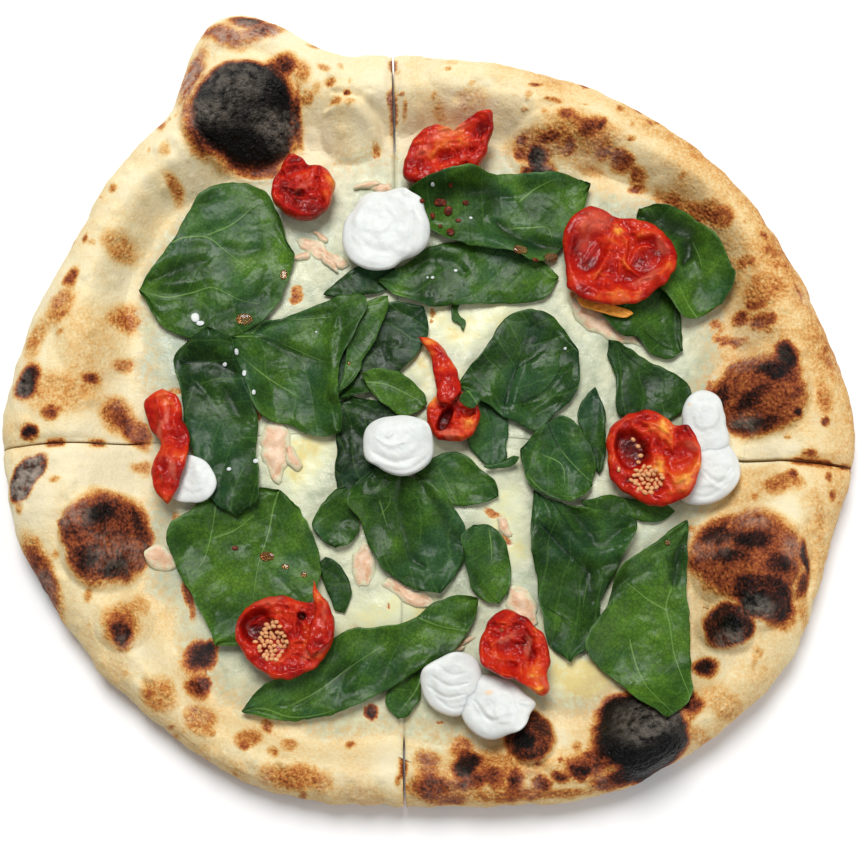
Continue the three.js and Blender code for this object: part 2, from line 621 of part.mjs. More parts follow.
// Seeds half sunk in the floor of an open tomato, in rings round the middle.
function seedsOn(body, { around: [x0, y0], spread, count }) {
  const points = body.getAttribute('position');
  const heightAt = (x, y) => {
    let highest = 0;
    const corners = [0, 1, 2].map(() => new THREE.Vector3());
    for (let i = 0; i < points.count; i += 3) {
      corners.forEach((corner, k) => corner.fromBufferAttribute(points, i + k));
      overTriangle(...corners, (px, py, weights) => {
        if (px === Math.round(x) && py === Math.round(y)) {
          const z = weights.reduce((sum, weight, k) => sum + weight * corners[k].z, 0);
          highest = Math.max(highest, z);
        }
      });
    }
    return highest;
  };
  const seeds = [];
  for (let k = 0; k < count; k += 1) {
    const far = Math.sqrt(k / count);
    const turn = k * 2.4;
    const x = x0 + spread[0] * far * Math.cos(turn);
    const y = y0 + spread[1] * far * Math.sin(turn);
    const seed = new THREE.IcosahedronGeometry(SEED_RADIUS, 0);
    seed.rotateZ(turn);
    seed.translate(x, y, heightAt(x, y) + SEED_RADIUS * 0.3);
    seeds.push(seed);
  }
  return seeds;
}

// ---------------------------------------------------------------- the pizza

function lay(name, slot, geometry) {
  addPiece(name, slot, geometry);
  raiseField(geometry);
}

for (const quarter of QUARTERS) {
  lay(`dough_${quarter.name}`, 'dough', doughQuarter(quarter));
}
for (const quarter of QUARTERS) {
  lay(`cheese_${quarter.name}`, 'cheese', cheeseQuarter(quarter));
}
const numbered = (kind, k) => `${kind}_${String(k + 1).padStart(2, '0')}`;
FLAKES.forEach((piece, k) => lay(numbered('salmon', k), 'salmon', flake(piece)));
LEAVES_UNDER.forEach((piece, k) => lay(numbered('spinach', k), 'spinach', leaf(piece)));
lay('tomato_wedge', 'tomato', mound(TOMATO_WEDGE, 0));
LEAVES_OVER.forEach((piece, k) => {
  lay(numbered('spinach', k + LEAVES_UNDER.length), 'spinach', leaf(piece));
});
lay('tomato_twist', 'tomato', joined([mound(TOMATO_CUP, 0), strip(TOMATO_TWIST, TWIST_THICKNESS)]));
DOLLOPS.forEach((lobes, k) => {
  lay(numbered('cream', k), 'cream', joined(lobes.map((lobe) => mound(lobe, SWIRL_DEPTH))));
});
lay('tomato_ball', 'tomato', mound(TOMATO_BALL, 0.8));
lay('tomato_heart', 'tomato', mound(TOMATO_HEART, 0.5));
const curled = mound(TOMATO_CURLED, 0.5);
lay('tomato_curled', 'tomato', joined([curled, ...seedsOn(curled, CURLED_SEEDS)]));
const ringHalf = mound(TOMATO_RING, 0.5);
const tail = strip(TOMATO_TAIL, TAIL_THICKNESS);
lay('tomato_ring', 'tomato', joined([ringHalf, tail, ...seedsOn(ringHalf, RING_SEEDS)]));
lay('tomato_strip', 'tomato', strip(TOMATO_STRIP, STRIP_THICKNESS));
lay('tomato_chunk', 'tomato', mound(TOMATO_CHUNK, 0.6));

export default pizza;
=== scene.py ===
import math

import bpy
import numpy as np
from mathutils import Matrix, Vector


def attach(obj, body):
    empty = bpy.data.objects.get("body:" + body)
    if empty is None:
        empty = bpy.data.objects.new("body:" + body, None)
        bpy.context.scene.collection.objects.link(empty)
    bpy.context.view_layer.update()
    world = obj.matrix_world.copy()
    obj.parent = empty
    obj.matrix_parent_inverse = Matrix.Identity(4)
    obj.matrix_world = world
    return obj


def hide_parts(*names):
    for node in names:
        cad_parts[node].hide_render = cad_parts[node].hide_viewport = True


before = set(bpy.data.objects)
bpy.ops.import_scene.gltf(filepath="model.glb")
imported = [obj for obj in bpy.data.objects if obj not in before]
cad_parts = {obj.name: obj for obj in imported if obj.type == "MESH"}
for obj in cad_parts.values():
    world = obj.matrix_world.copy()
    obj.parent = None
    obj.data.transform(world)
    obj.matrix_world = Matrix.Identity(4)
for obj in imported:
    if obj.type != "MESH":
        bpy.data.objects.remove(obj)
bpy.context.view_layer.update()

# ---------------------------------------------------------------- The dough
# A round of stretched bread dough, baked very hot and cut in quarters that still lie
# together: a thin base and a tall uneven rim, pale and floury, with toasted and charred
# blisters. Lengths are millimetres from a point near the middle of the pizza.

MIDDLE = (0, -2)                # where that point lies in the frame
CROSSING = (-12, -12)           # where the two cuts cross
BASE = 4                        # thickness of the base
QUARTERS = {                    # from cut to cut, and how far each has been pushed out
    "back_right": (-5.8, 91.1, (0.45, 0.6)),
    "back_left": (91.1, 183.8, (-0.4, 0.35)),
    "front_left": (183.8, 271.2, (-0.4, -0.3)),
    "front_right": (271.2, 354.2, (0.45, -0.5)),
}
# The rim every 15 degrees from the right, anticlockwise.
RIM_REACH = [174, 167, 164, 161, 157, 152, 152, 154, 155, 152, 146, 148,
             150, 149, 144, 142, 142, 142, 140, 145, 156, 163, 169, 168]
RIM_FOOT = [128, 128, 139, 132, 120, 118, 114, 110, 116, 120, 115, 103,
            96, 97, 108, 116, 120, 117, 115, 123, 126, 137, 127, 119]
RIM_HEIGHT = [19, 21, 20, 20, 21, 20, 20, 22, 23, 20, 19, 20,
              20, 20, 18, 18, 17, 17, 18, 18, 19, 20, 21, 21]
CREST_PLACE = 0.56              # share of the way from foot to reach where the rim is highest
FLAT_MARGIN = 11                # how far in from the edge the flat underside ends
BULGE = 0.4                     # share of the height where the rim reaches out furthest
# A pulled-out ear at the back left: angle, half-width in degrees, how far.
EAR_ANGLE, EAR_HALF_WIDTH, EAR_REACH = 112.8, 15, 27
# Where a blister swells inwards over the cheese: angle, half-width in degrees, how far.
SWELLS = [(5, 8, 9), (334.5, 11, 6), (310, 8, 8), (292.7, 9, 11)]
CHAR_BUBBLE = (-73, 111)
BLISTERS = [                    # place, radii, height
    (CHAR_BUBBLE, (23, 22), 8), ((-31, 106), (12, 11), 6), ((48, 99), (19, 13), 5),
    ((125, -1), (18, 18), 7), ((117, -63), (22, 21), 7), ((119, -81), (11, 9), 5),
    ((108, -89), (9.5, 9.5), 6), ((76, -127), (18, 17), 6), ((36, -127), (10, 10), 7),
    ((-120, -56), (17, 20), 7), ((-112, -87), (10, 11), 3), ((-128, 22), (14, 18), 2),
    ((12, 128), (14, 10), 2), ((112, 52), (15, 20), 2),
]


def around(values, degrees):
    """The smooth closed curve through evenly spaced values, at each angle."""
    count = len(values)
    place = degrees % 360 / 360 * count
    first = np.floor(place).astype(int)
    t = place - first
    a, b, c, d = (np.take(values, (first + k) % count) for k in (-1, 0, 1, 2))
    slope = (c - a) / 2
    after = (d - b) / 2
    return b + t * (slope + t * (3 * (c - b) - 2 * slope - after
                                 + t * (2 * (b - c) + slope + after)))


def grain(places, size, seed):
    """Smooth unevenness from -1 to 1, with lumps about that many millimetres across."""
    lattice = np.random.default_rng(seed).uniform(-1, 1, (32, 32, 32))
    cell = np.floor(places / size).astype(int)
    part = places / size - cell
    part = part * part * (3 - 2 * part)
    total = np.zeros(places.shape[:-1])
    for corner in np.ndindex(2, 2, 2):
        weight = np.ones(places.shape[:-1])
        for axis, side in enumerate(corner):
            weight = weight * (part[..., axis] if side else 1 - part[..., axis])
        x, y, z = np.moveaxis((cell + corner) % 32, -1, 0)
        total += weight * lattice[x, y, z]
    return total


def flat(x, y, z=0.0):
    """Points from arrays of x, y and z."""
    x, y, z = np.broadcast_arrays(x, y, z)
    return np.stack([x, y, z], axis=-1).astype(float)


def step(low, high, value):
    """0 below low, 1 above high, and a smooth rise between."""
    t = np.clip((value - low) / (high - low), 0, 1)
    return t * t * (3 - 2 * t)


def blister_lift(x, y):
    """How far the blisters lift the skin at each point."""
    lift = np.zeros(np.shape(x))
    for (cx, cy), (rx, ry), top in BLISTERS:
        away = ((x - cx) / rx) ** 2 + ((y - cy) / ry) ** 2
        lift = np.maximum(lift, top * np.clip(1 - away, 0, 1) ** 0.7)
    return lift


def rim_at(degrees):
    """Foot, crest, reach and height of the rim at each angle."""
    turn = (degrees - EAR_ANGLE) / EAR_HALF_WIDTH
    ear = EAR_REACH * np.cos(np.clip(turn, -1, 1) * np.pi / 2) ** 2
    angle = np.radians(degrees)
    ring = flat(150 * np.cos(angle), 150 * np.sin(angle))
    reach = around(RIM_REACH, degrees) + ear
    reach = reach + 0.8 * grain(ring, 19, 11) + 0.45 * grain(ring, 6, 12)
    foot = around(RIM_FOOT, degrees) + 2.0 * grain(ring, 16, 13)
    for swell_angle, half_width, inwards in SWELLS:
        turn = ((degrees - swell_angle + 180) % 360 - 180) / half_width
        foot = foot - inwards * np.cos(np.clip(turn, -1, 1) * np.pi / 2) ** 2
    return foot, foot + (reach - foot) * CREST_PLACE, reach, around(RIM_HEIGHT, degrees)


TINY_BUBBLES = np.random.default_rng(21)
BUBBLE_COUNT = 420
BUBBLE_ANGLE = TINY_BUBBLES.uniform(0, 2 * np.pi, BUBBLE_COUNT)
BUBBLE_FAR = TINY_BUBBLES.uniform(115, 165, BUBBLE_COUNT)
BUBBLE_RADIUS = TINY_BUBBLES.uniform(1.2, 3.4, BUBBLE_COUNT)


def crust_relief(x, y):
    """Lumps, folds and small bubbles of the baked skin."""
    here = flat(x, y)
    relief = 0.9 * grain(here, 24, 1) + 0.6 * grain(here, 10, 2) + 0.3 * grain(here, 4.5, 3)
    relief += 0.12 * grain(here, 2, 4)
    for angle, far, radius in zip(BUBBLE_ANGLE, BUBBLE_FAR, BUBBLE_RADIUS):
        bx = CROSSING[0] + far * math.cos(angle)
        by = CROSSING[1] + far * math.sin(angle)
        near = (np.abs(x - bx) < radius) & (np.abs(y - by) < radius)
        away = ((x[near] - bx) ** 2 + (y[near] - by) ** 2) / radius ** 2
        relief[near] += 0.28 * radius * np.clip(1 - away, 0, 1) ** 1.5
    return relief


def curve_through(points, t):
    """A smooth curve through points, at shares t of the way."""
    points = np.asarray(points, float)
    points = np.vstack([2 * points[0] - points[1], points, 2 * points[-1] - points[-2]])
    place = np.clip(t, 0, 1) * (len(points) - 3)
    first = np.minimum(place.astype(int), len(points) - 4)
    w = (place - first)[:, None]
    a, b, c, d = (points[first + k] for k in range(4))
    ab, bc, cd = (np.sqrt(np.linalg.norm(q - p, axis=1))[:, None] for p, q in ((a, b), (b, c), (c, d)))
    leave = ((b - a) / ab - (c - a) / (ab + bc) + (c - b) / bc) * bc
    arrive = ((c - b) / bc - (d - b) / (bc + cd) + (d - c) / cd) * bc
    return b + w * (leave + w * (3 * (c - b) - 2 * leave - arrive + w * (2 * (b - c) + leave + arrive)))


def ridges(x, y, lines):
    """Folds and wrinkles: along each line a soft ridge, or a groove where it is negative."""
    total = np.zeros(np.shape(x))
    for points, height, width in lines:
        line = curve_through(points, np.linspace(0, 1, 8 * len(points)))
        away = np.full(np.shape(x), np.inf)
        for k, (px, py) in enumerate(line):
            fade = 1 + 2.5 * (abs(2 * k / (len(line) - 1) - 1)) ** 6
            away = np.minimum(away, np.hypot(x - px, y - py) * fade)
        total += height * np.exp(-(away / width) ** 2)
    return total


# Creases and lips that the bake has left: points, height or depth, half-width.
DOUGH_FOLDS = [
    ([(-84, 144), (-74, 147), (-66, 146)], -1.3, 0.9), ([(-88, 139), (-74, 143), (-60, 139)], 1.2, 3),
    ([(-96, 117), (-95, 104), (-87, 95), (-72, 88), (-58, 92), (-50, 101)], 2.4, 1.8),
    ([(-93, 117), (-91, 105), (-83, 97), (-71, 92), (-60, 96), (-54, 104)], -1.8, 1.5),
    ([(-94, 122), (-87, 133), (-73, 137), (-60, 132), (-53, 120), (-52, 108)], -1.4, 1.8),
    ([(-41, 112), (-30, 113), (-21, 105), (-20, 98)], 1.8, 2.6),
    ([(-38, 119), (-26, 117), (-16, 107), (-16, 97)], -1.4, 2),
    ([(113, -14), (124, -17), (136, -15)], -1.3, 1.8), ([(105, 10), (104, 0), (108, -9)], -1.0, 2.0),
    ([(96, -48), (95, -62), (99, -76)], -1.4, 2), ([(139, -50), (141, -64), (138, -78)], -1.4, 1.6),
    ([(100, -83), (103, -79), (109, -78), (116, -80)], -1.2, 1.3),
    ([(99, -92), (104, -97), (112, -97)], -1.0, 1.3),
    ([(58, -113), (56, -126), (59, -139)], -1.4, 1.6),
    ([(23, -121), (23, -132), (29, -138), (38, -137)], -1.4, 1.4),
    ([(21, 104), (25, 96), (34, 87)], -1.2, 2), ([(110, 20), (122, 17), (133, 22)], -1.0, 2.2),
    ([(-103, -34), (-103, -50), (-106, -68)], -1.3, 2), ([(-134, -38), (-136, -54), (-133, -70)], -1.0, 2),
    ([(-100, 24), (-108, 30), (-112, 42)], -0.8, 2.4), ([(-28, -121), (-10, -119), (4, -122)], -0.8, 2),
]


def crust_top(x, y, degrees, far):
    """Height of the upper side of the dough at each point."""
    foot, crest, reach, height = rim_at(degrees)
    bulge = height * BULGE
    down = np.clip((far - crest) / (reach - crest), 0, 1)
    outside = bulge + (height - bulge) * np.sqrt(1 - down ** 2)
    inside = np.clip((crest - far) / (crest - foot), 0, 1)
    slope = height + (BASE - height) * (0.5 - 0.5 * np.cos(np.pi * inside))
    top = np.where(far > crest, outside, slope)
    raised = (blister_lift(x, y) + ridges(x, y, DOUGH_FOLDS)) * step(0, 0.3, 1 - down)
    return top + raised + step(0, 0.35, 1 - inside) * step(0, 0.3, 1 - down) * crust_relief(x, y)


# Each toasted place: middle, radii, turn in degrees, and how dark: 0.3 golden, 0.5 brown,
# 0.8 dark brown, 1.1 black. The list goes roughly clockwise from the char bubble.
TOAST = [
    ((-72, 112), (20, 19), 0, 2.3), ((-88, 101), (8, 9), 35, 0.72), ((-93, 109), (5.5, 11), 0, 0.47),
    ((-70, 93), (16, 5.5), 0, 0.62), ((-52, 112), (2.4, 12), 0, 0.72), ((-83, 144), (13, 6), -25, 0.62),
    ((-67, 146), (12, 5.5), 20, 0.66), ((-73, 151), (10, 3.9), 0, 0.8), ((-94, 127), (5.5, 16), -18, 0.6),
    ((-59, 130), (8, 6), 30, 0.74), ((-51, 127), (4.7, 7), 0, 0.42), ((-48, 118), (3.5, 3.5), 0, 0.4),
    ((-45, 141), (4.7, 2), 10, 0.42), ((-42, 129), (2.7, 2.4), 0, 0.42),
    ((-40, 123), (2.4, 2.4), 20, 0.48), ((-33, 119), (1.6, 1.6), 20, 0.66), ((-32, 115), (3.5, 2), 0, 0.3),
    ((-22, 100), (2.7, 4.7), -15, 0.5), ((-37, 95), (5.5, 1.2), 0, 0.3), ((-10, 115), (1.6, 3.5), 0, 0.4),
    ((-11, 119), (1.6, 0.8), 0, 0.5), ((-15, 119), (1.2, 4.7), -6, 0.62), ((-15, 109), (1.2, 8), 0, 0.34),
    ((4, 115), (3.9, 5.5), 20, 0.28), ((16, 117), (9, 5.5), 0, 0.27), ((8, 133), (3.9, 3.1), 0, 0.2),
    ((41, 123), (2, 1.8), 0, 0.56), ((39, 118), (1.6, 3.1), -15, 0.3), ((61, 124), (3.5, 1.2), -18, 0.5),
    ((48, 115), (3.5, 1.4), -8, 0.52), ((82, 114), (2.7, 1.2), -18, 0.5), ((86, 108), (2, 2), 0, 0.46),
    ((90, 109), (1.2, 1.6), 0, 0.36),
    ((43, 101), (16, 9), 0, 0.4), ((37, 104), (3.1, 2.7), 0, 0.66), ((47, 103), (5.5, 2.7), 0, 0.6),
    ((43, 97), (5.1, 5.1), 0, 0.98), ((45, 92), (7, 3.5), 0, 0.98), ((38, 92), (3.1, 2.7), 0, 0.78),
    ((36, 98), (3.5, 3.9), 0, 0.56), ((53, 110), (4.7, 3.5), 0, 0.54), ((62, 105), (7, 5.5), 0, 0.6),
    ((55, 99), (4.3, 4.7), 0, 0.5), ((67, 106), (1.6, 3.1), -10, 0.66), ((69, 97), (4.7, 5.1), 0, 0.54),
    ((76, 93), (5.9, 4.7), -30, 0.58), ((82, 88), (5.1, 3.9), -30, 0.56), ((82, 84), (4.3, 2), 0, 0.66),
    ((63, 92), (10, 3.1), -20, 0.3), ((95, 80), (11, 3.9), -25, 0.34), ((107, 73), (9, 6), -25, 0.4),
    ((113, 69), (5.1, 5.5), -30, 0.46), ((101, 67), (3.9, 3.1), 0, 0.3), ((82, 78), (8, 3.9), -20, 0.1),
    ((129, 61), (2.4, 2), 0, 0.5), ((131, 54), (3.1, 4.7), 20, 0.4), ((122, 51), (4.7, 2.7), 20, 0.46),
    ((139, 54), (1.4, 3.5), 15, 0.66), ((140, 38), (1.2, 9), 8, 0.4), ((128, 39), (11, 11), 0, 0.38),
    ((120, 30), (4.7, 3.5), 0, 0.66), ((125, 34), (3.9, 2.4), 0, 0.5), ((127, 27), (5.5, 4.7), 0, 0.56),
    ((116, 22), (8, 2.7), -8, 0.62), ((112, 28), (3.9, 3.1), 0, 0.44),
    ((128, 6), (9, 5.5), -15, 0.8), ((134, 12), (6, 7), 0, 0.95), ((112, 0), (3, 7), 0, 0.68),
    ((122, -12), (12, 5), 0, 0.7), ((137, -10), (2.4, 2.4), 0, 0.84), ((120, -3), (8, 4), 30, 0.74),
    ((109, 2), (3.1, 5.5), 0, 0.5), ((148, -12), (2, 2), 0, 0.72),
    ((148, -3), (3.9, 10), 0, 0.36), ((150, 13), (3.1, 8), 0, 0.34), ((141, -24), (3.5, 1.6), 0, 0.56),
    ((154, -28), (3.1, 1.6), 0, 0.5), ((130, -36), (10, 4.7), -5, 0.44), ((134, -33), (3.1, 2.7), 0, 0.64),
    ((148, -33), (2, 3.1), 0, 0.5), ((150, -40), (2, 2.7), 0, 0.5),
    ((107, -54), (8, 5), 0, 0.7), ((118, -57), (10, 6), 0, 0.78), ((110, -63), (7, 5), 0, 0.7),
    ((126, -67), (9, 6), 0, 0.7), ((138, -64), (2.4, 9), 5, 0.84), ((136, -74), (4, 7), -20, 0.7),
    ((127, -82), (9, 10), 0, 0.64), ((118, -81), (7, 5), -15, 0.95),
    ((109, -89), (5, 5), 0, 1), ((100, -103), (4.9, 5.1), 0, 0.9),
    ((94, -117), (4.3, 5.5), 0, 0.72), ((144, -49), (3.1, 20), 5, 0.26), ((137, -82), (3.9, 12), 10, 0.3),
    ((105, -117), (16, 8), -35, 0.27), ((98, -129), (13, 4.7), -35, 0.28),
    ((117, -101), (2.7, 10), -10, 0.22),
    ((76, -127), (16, 15), 0, 2.2), ((68, -118), (4.7, 7), 20, 0.76), ((63, -131), (7, 8), 0, 0.7),
    ((72, -142), (14, 4.7), 8, 0.84), ((89, -125), (3.1, 10), 8, 0.74), ((58, -137), (6, 7), 0, 0.62),
    ((61, -125), (3.9, 2.7), 0, 0.42), ((34, -130), (5, 5), 0, 0.9),
    ((4, -123), (3.1, 1.3), 0, 0.5), ((-1, -137), (5.5, 5.5), 0, 0.5), ((1, -145), (8, 7), 0, 0.64),
    ((8, -151), (6, 2.7), 0, 0.56), ((12, -132), (5.5, 4.7), 0, 0.5), ((13, -138), (7, 5.1), 0, 0.9),
    ((14, -144), (8, 3.9), 0, 0.66), ((22, -142), (6, 5.5), 0, 0.6), ((30, -143), (5.5, 5.9), 0, 0.7),
    ((39, -138), (1.8, 1.4), 0, 0.62), ((40, -145), (3.5, 3.9), 0, 0.66), ((46, -142), (3.9, 3.1), 0, 0.7),
    ((53, -140), (5.5, 4.3), 0, 0.74), ((47, -136), (1.2, 1.2), 0, 0.5),
    ((36, -148), (31, 2.7), 2, 0.46), ((22, -139), (30, 9), 3, 0.36),
    ((57, -138), (13, 7), 10, 0.52), ((60, 103), (22, 10), -15, 0.36), ((98, 76), (16, 7), -35, 0.34),
    ((63, -145), (8, 3.5), 0, 0.6), ((4, -147), (16, 6), 0, 0.42),
    ((-22, -119), (3.2, 3.2), 0, 0.95), ((-29, -131), (2.4, 2), 0, 0.5), ((-51, -130), (4, 3), 0, 0.34),
    ((-48, -143), (16, 7), -10, 0.42), ((-66, -129), (6, 5), 0, 0.46), ((-60, -124), (3, 3), 0, 0.5),
    ((-84, -122), (9, 7), -40, 0.4), ((-99, -113), (9, 8), -30, 0.42), ((-85, -99), (9, 8), 40, 0.84),
    ((-81, -95), (4, 5), 0, 0.95), ((-85, -110), (5, 5), -30, 0.7), ((-68, -105), (3.4, 3.4), 0, 0.42),
    ((-89, -79), (3.4, 9), 12, 0.75), ((-113, -88), (8, 11), -12, 0.5), ((-112, -91), (5, 7), 0, 0.76),
    ((-107, -80), (4, 6), 0, 0.3), ((-122, -47), (7, 6), 0, 0.86), ((-125, -64), (5, 7), 0, 0.72),
    ((-116, -68), (7, 6), 0, 0.74), ((-110, -49), (5, 6), 0, 0.6),
    ((-135, -51), (2.4, 2.4), 0, 0.8), ((-110, -28), (6, 3.4), 0, 0.46),
    ((-143, -70), (7, 20), 25, 0.66), ((-152, 3), (6, 8.5), -20, 0.98), ((-150, -17), (4, 3.6), 0, 0.86),
    ((-142, -9), (4.4, 4), 0, 0.6), ((-129, 5), (4, 4), 0, 0.62), ((-119, -8), (7, 9), 20, 0.6),
    ((-112, -14), (9, 6), -40, 0.66), ((-140, -1), (20, 12), 0, 0.3), ((-118, 31), (8, 8), 0, 0.44),
    ((-118, 12), (5, 4), 0, 0.45), ((-141, 33), (6, 10), -30, 0.46), ((-137, 44), (4, 5), -30, 0.56),
    ((-150, 20), (5, 12), -20, 0.4), ((-120, 58), (8, 8), 0, 0.34), ((-106, 107), (3, 5), 20, 0.42),
    ((-103, 96), (3, 4), 0, 0.3), ((-100, 82), (4, 7), 20, 0.45), ((-130, 20), (16, 22), 0, 0.22),
]
# Small freckles that the flames have left all round the rim.
FRECKLES = np.random.default_rng(23)
FRECKLE_COUNT = 130
for _ in range(FRECKLE_COUNT):
    angle = FRECKLES.uniform(0, 2 * np.pi)
    far = FRECKLES.uniform(128, 158)
    size = FRECKLES.uniform(0.9, 2.6)
    TOAST.append(((CROSSING[0] + far * math.cos(angle), CROSSING[1] + far * math.sin(angle)),
                  (size, size * FRECKLES.uniform(0.6, 1.4)), 0, FRECKLES.uniform(0.24, 0.46)))
# Whole blisters browned nearly to their edge, and ash and flour, both listed in the same way.
BROWNED = [
    ((-150, -34), (11.5, 5.6), 58, 0.86), ((125, -1), (17, 17), 0, 0.58),
    ((117, -63), (22, 19.5), -8, 0.58), ((121, -79), (13, 9), -20, 0.72), ((108, -89), (9, 9), 0, 0.8),
    ((36, -127), (9.7, 9.7), 0, 0.76), ((-120, -56), (16.5, 19.5), 10, 0.68),
    (CHAR_BUBBLE, (21.5, 20.5), 0, 0.7), ((76, -127), (18, 17), 0, 0.72),
]
ASH = [
    ((-150, -34), (12, 6), 58, 0.5), ((-74, 144), (19, 8), 0, 0.4), ((-94, 128), (6, 16), -18, 0.3),
    ((-76, 122), (16, 11), 0, 0.14), ((118, -82), (7, 5), 0, 0.12), ((75, -124), (10, 8), 0, 0.16),
    ((14, 117), (14, 6), 0, 0.3),
]


def spots(x, y, places, ragged, seed, core=0.4, edge=1.2):
    """How strongly listed spots with ragged edges colour or raise each point."""
    here = flat(x, y)
    x = here[..., 0] + ragged * (2.4 * grain(here, 9, seed) + 1.3 * grain(here, 3.6, seed + 1))
    y = here[..., 1] + ragged * (2.4 * grain(here, 9, seed + 2) + 1.3 * grain(here, 3.6, seed + 3))
    level = np.zeros(x.shape)
    for (cx, cy), (rx, ry), turn, strength in places:
        reach = edge * max(rx, ry)
        near = (np.abs(x - cx) < reach) & (np.abs(y - cy) < reach)
        angle = math.radians(turn)
        along = (x[near] - cx) * math.cos(angle) + (y[near] - cy) * math.sin(angle)
        across = (y[near] - cy) * math.cos(angle) - (x[near] - cx) * math.sin(angle)
        away = np.hypot(along / rx, across / ry)
        level[near] += (strength * (1 - step(core, edge, away))) ** 3
    return np.cbrt(level)


# Where the skin stayed pale beside the cuts and between the blisters, listed in the same way.
PALE = [
    ((131, -47), (9, 7), 0, 0.2), ((124, -22), (20, 6), 5, 0.2), ((112, -16), (8, 8), 0, 0.2),
    ((-150, -40), (12, 14), 0, 0.1), ((-118, -30), (18, 12), 0, 0.14), ((-136, -28), (12, 8), 0, 0.12),
    ((17, -128), (8, 3), 0, 0.2), ((-14, -140), (8, 12), 0, 0.12), ((44, -129), (8, 5), 0, 0.2),
]
# How golden the rim is at some angles, and how much more so outside its crest, which is partly the bake and
# partly painted shade on the outer sides.
GOLDEN_TURN = [0, 25, 60, 100, 140, 165, 185, 205, 240, 270, 330, 360]
GOLDEN = [0.2, 0.24, 0.14, 0.05, 0.06, 0.07, 0.06, 0.07, 0.14, 0.14, 0.13, 0.2]
OUTER_GOLDEN_AND_SHADE = [0.1, 0.12, 0.1, 0.03, 0.04, 0.05, 0.03, 0.05, 0.07, 0.08, 0.06, 0.1]


def skin_bake(x, y, degrees):
    """How far each point of the skin is baked: pale at the back and left, golden at the right and front,
    and more golden still outside the crest, partly as painted shade, with the toasted places on top."""
    here = flat(x, y)
    _, crest, reach, _ = rim_at(degrees)
    far = np.hypot(x - CROSSING[0], y - CROSSING[1])
    outer = step(0.1, 0.7, (far - crest) / (reach - crest))
    golden = np.interp(degrees % 360, GOLDEN_TURN, GOLDEN)
    # Outside the crest it is more golden: partly the bake, partly painted shade.
    golden = golden + outer * np.interp(degrees % 360, GOLDEN_TURN, OUTER_GOLDEN_AND_SHADE)
    golden = golden + 0.07 * grain(here, 17, 31) + 0.05 * grain(here, 7, 32)
    golden = golden - spots(x, y, PALE, 0.5, 33)
    baked = spots(x, y, TOAST, 0.55, 51, 0.3, 1.25) ** 3 + spots(x, y, BROWNED, 0.6, 55, 0.74, 1.1) ** 3
    return np.minimum(np.maximum(golden, np.cbrt(baked) + 0.3 * golden), 1.25)


def colour(red, green, blue):
    """A colour as seen on a screen, 0 to 255, for a shader."""
    def part(value):
        value /= 255
        return value / 12.92 if value <= 0.04045 else ((value + 0.055) / 1.055) ** 2.4
    return (part(red), part(green), part(blue), 1)


CUT_FACE = 20                   # a face with so many corners is a cut, and stays flat


def new_piece(name, points, faces, material, marks):
    """A smooth mesh from points in millimetres, with values painted on its points."""
    mesh = bpy.data.meshes.new(name)
    places = np.asarray(points, float) + (MIDDLE[0], MIDDLE[1], 0)
    faces = [np.asarray(group, np.int32) for group in faces if len(group)]
    mesh.vertices.add(len(places))
    mesh.vertices.foreach_set("co", (places / 1000).astype(np.float32).ravel())
    sizes = np.concatenate([np.full(len(group), group.shape[1]) for group in faces])
    mesh.loops.add(int(sizes.sum()))
    mesh.loops.foreach_set("vertex_index", np.concatenate([group.ravel() for group in faces]))
    mesh.polygons.add(len(sizes))
    starts = np.concatenate([[0], np.cumsum(sizes)[:-1]]).astype(np.int32)
    mesh.polygons.foreach_set("loop_start", starts)
    mesh.update(calc_edges=True)
    mesh.validate()
    for mark, values in marks.items():
        layer = mesh.attributes.new(mark, "FLOAT", "POINT")
        layer.data.foreach_set("value", np.asarray(values, np.float32).ravel())
    mesh.polygons.foreach_set("use_smooth", sizes < CUT_FACE)
    mesh.materials.append(material)
    piece = bpy.data.objects.new(name, mesh)
    bpy.context.scene.collection.objects.link(piece)
    return piece


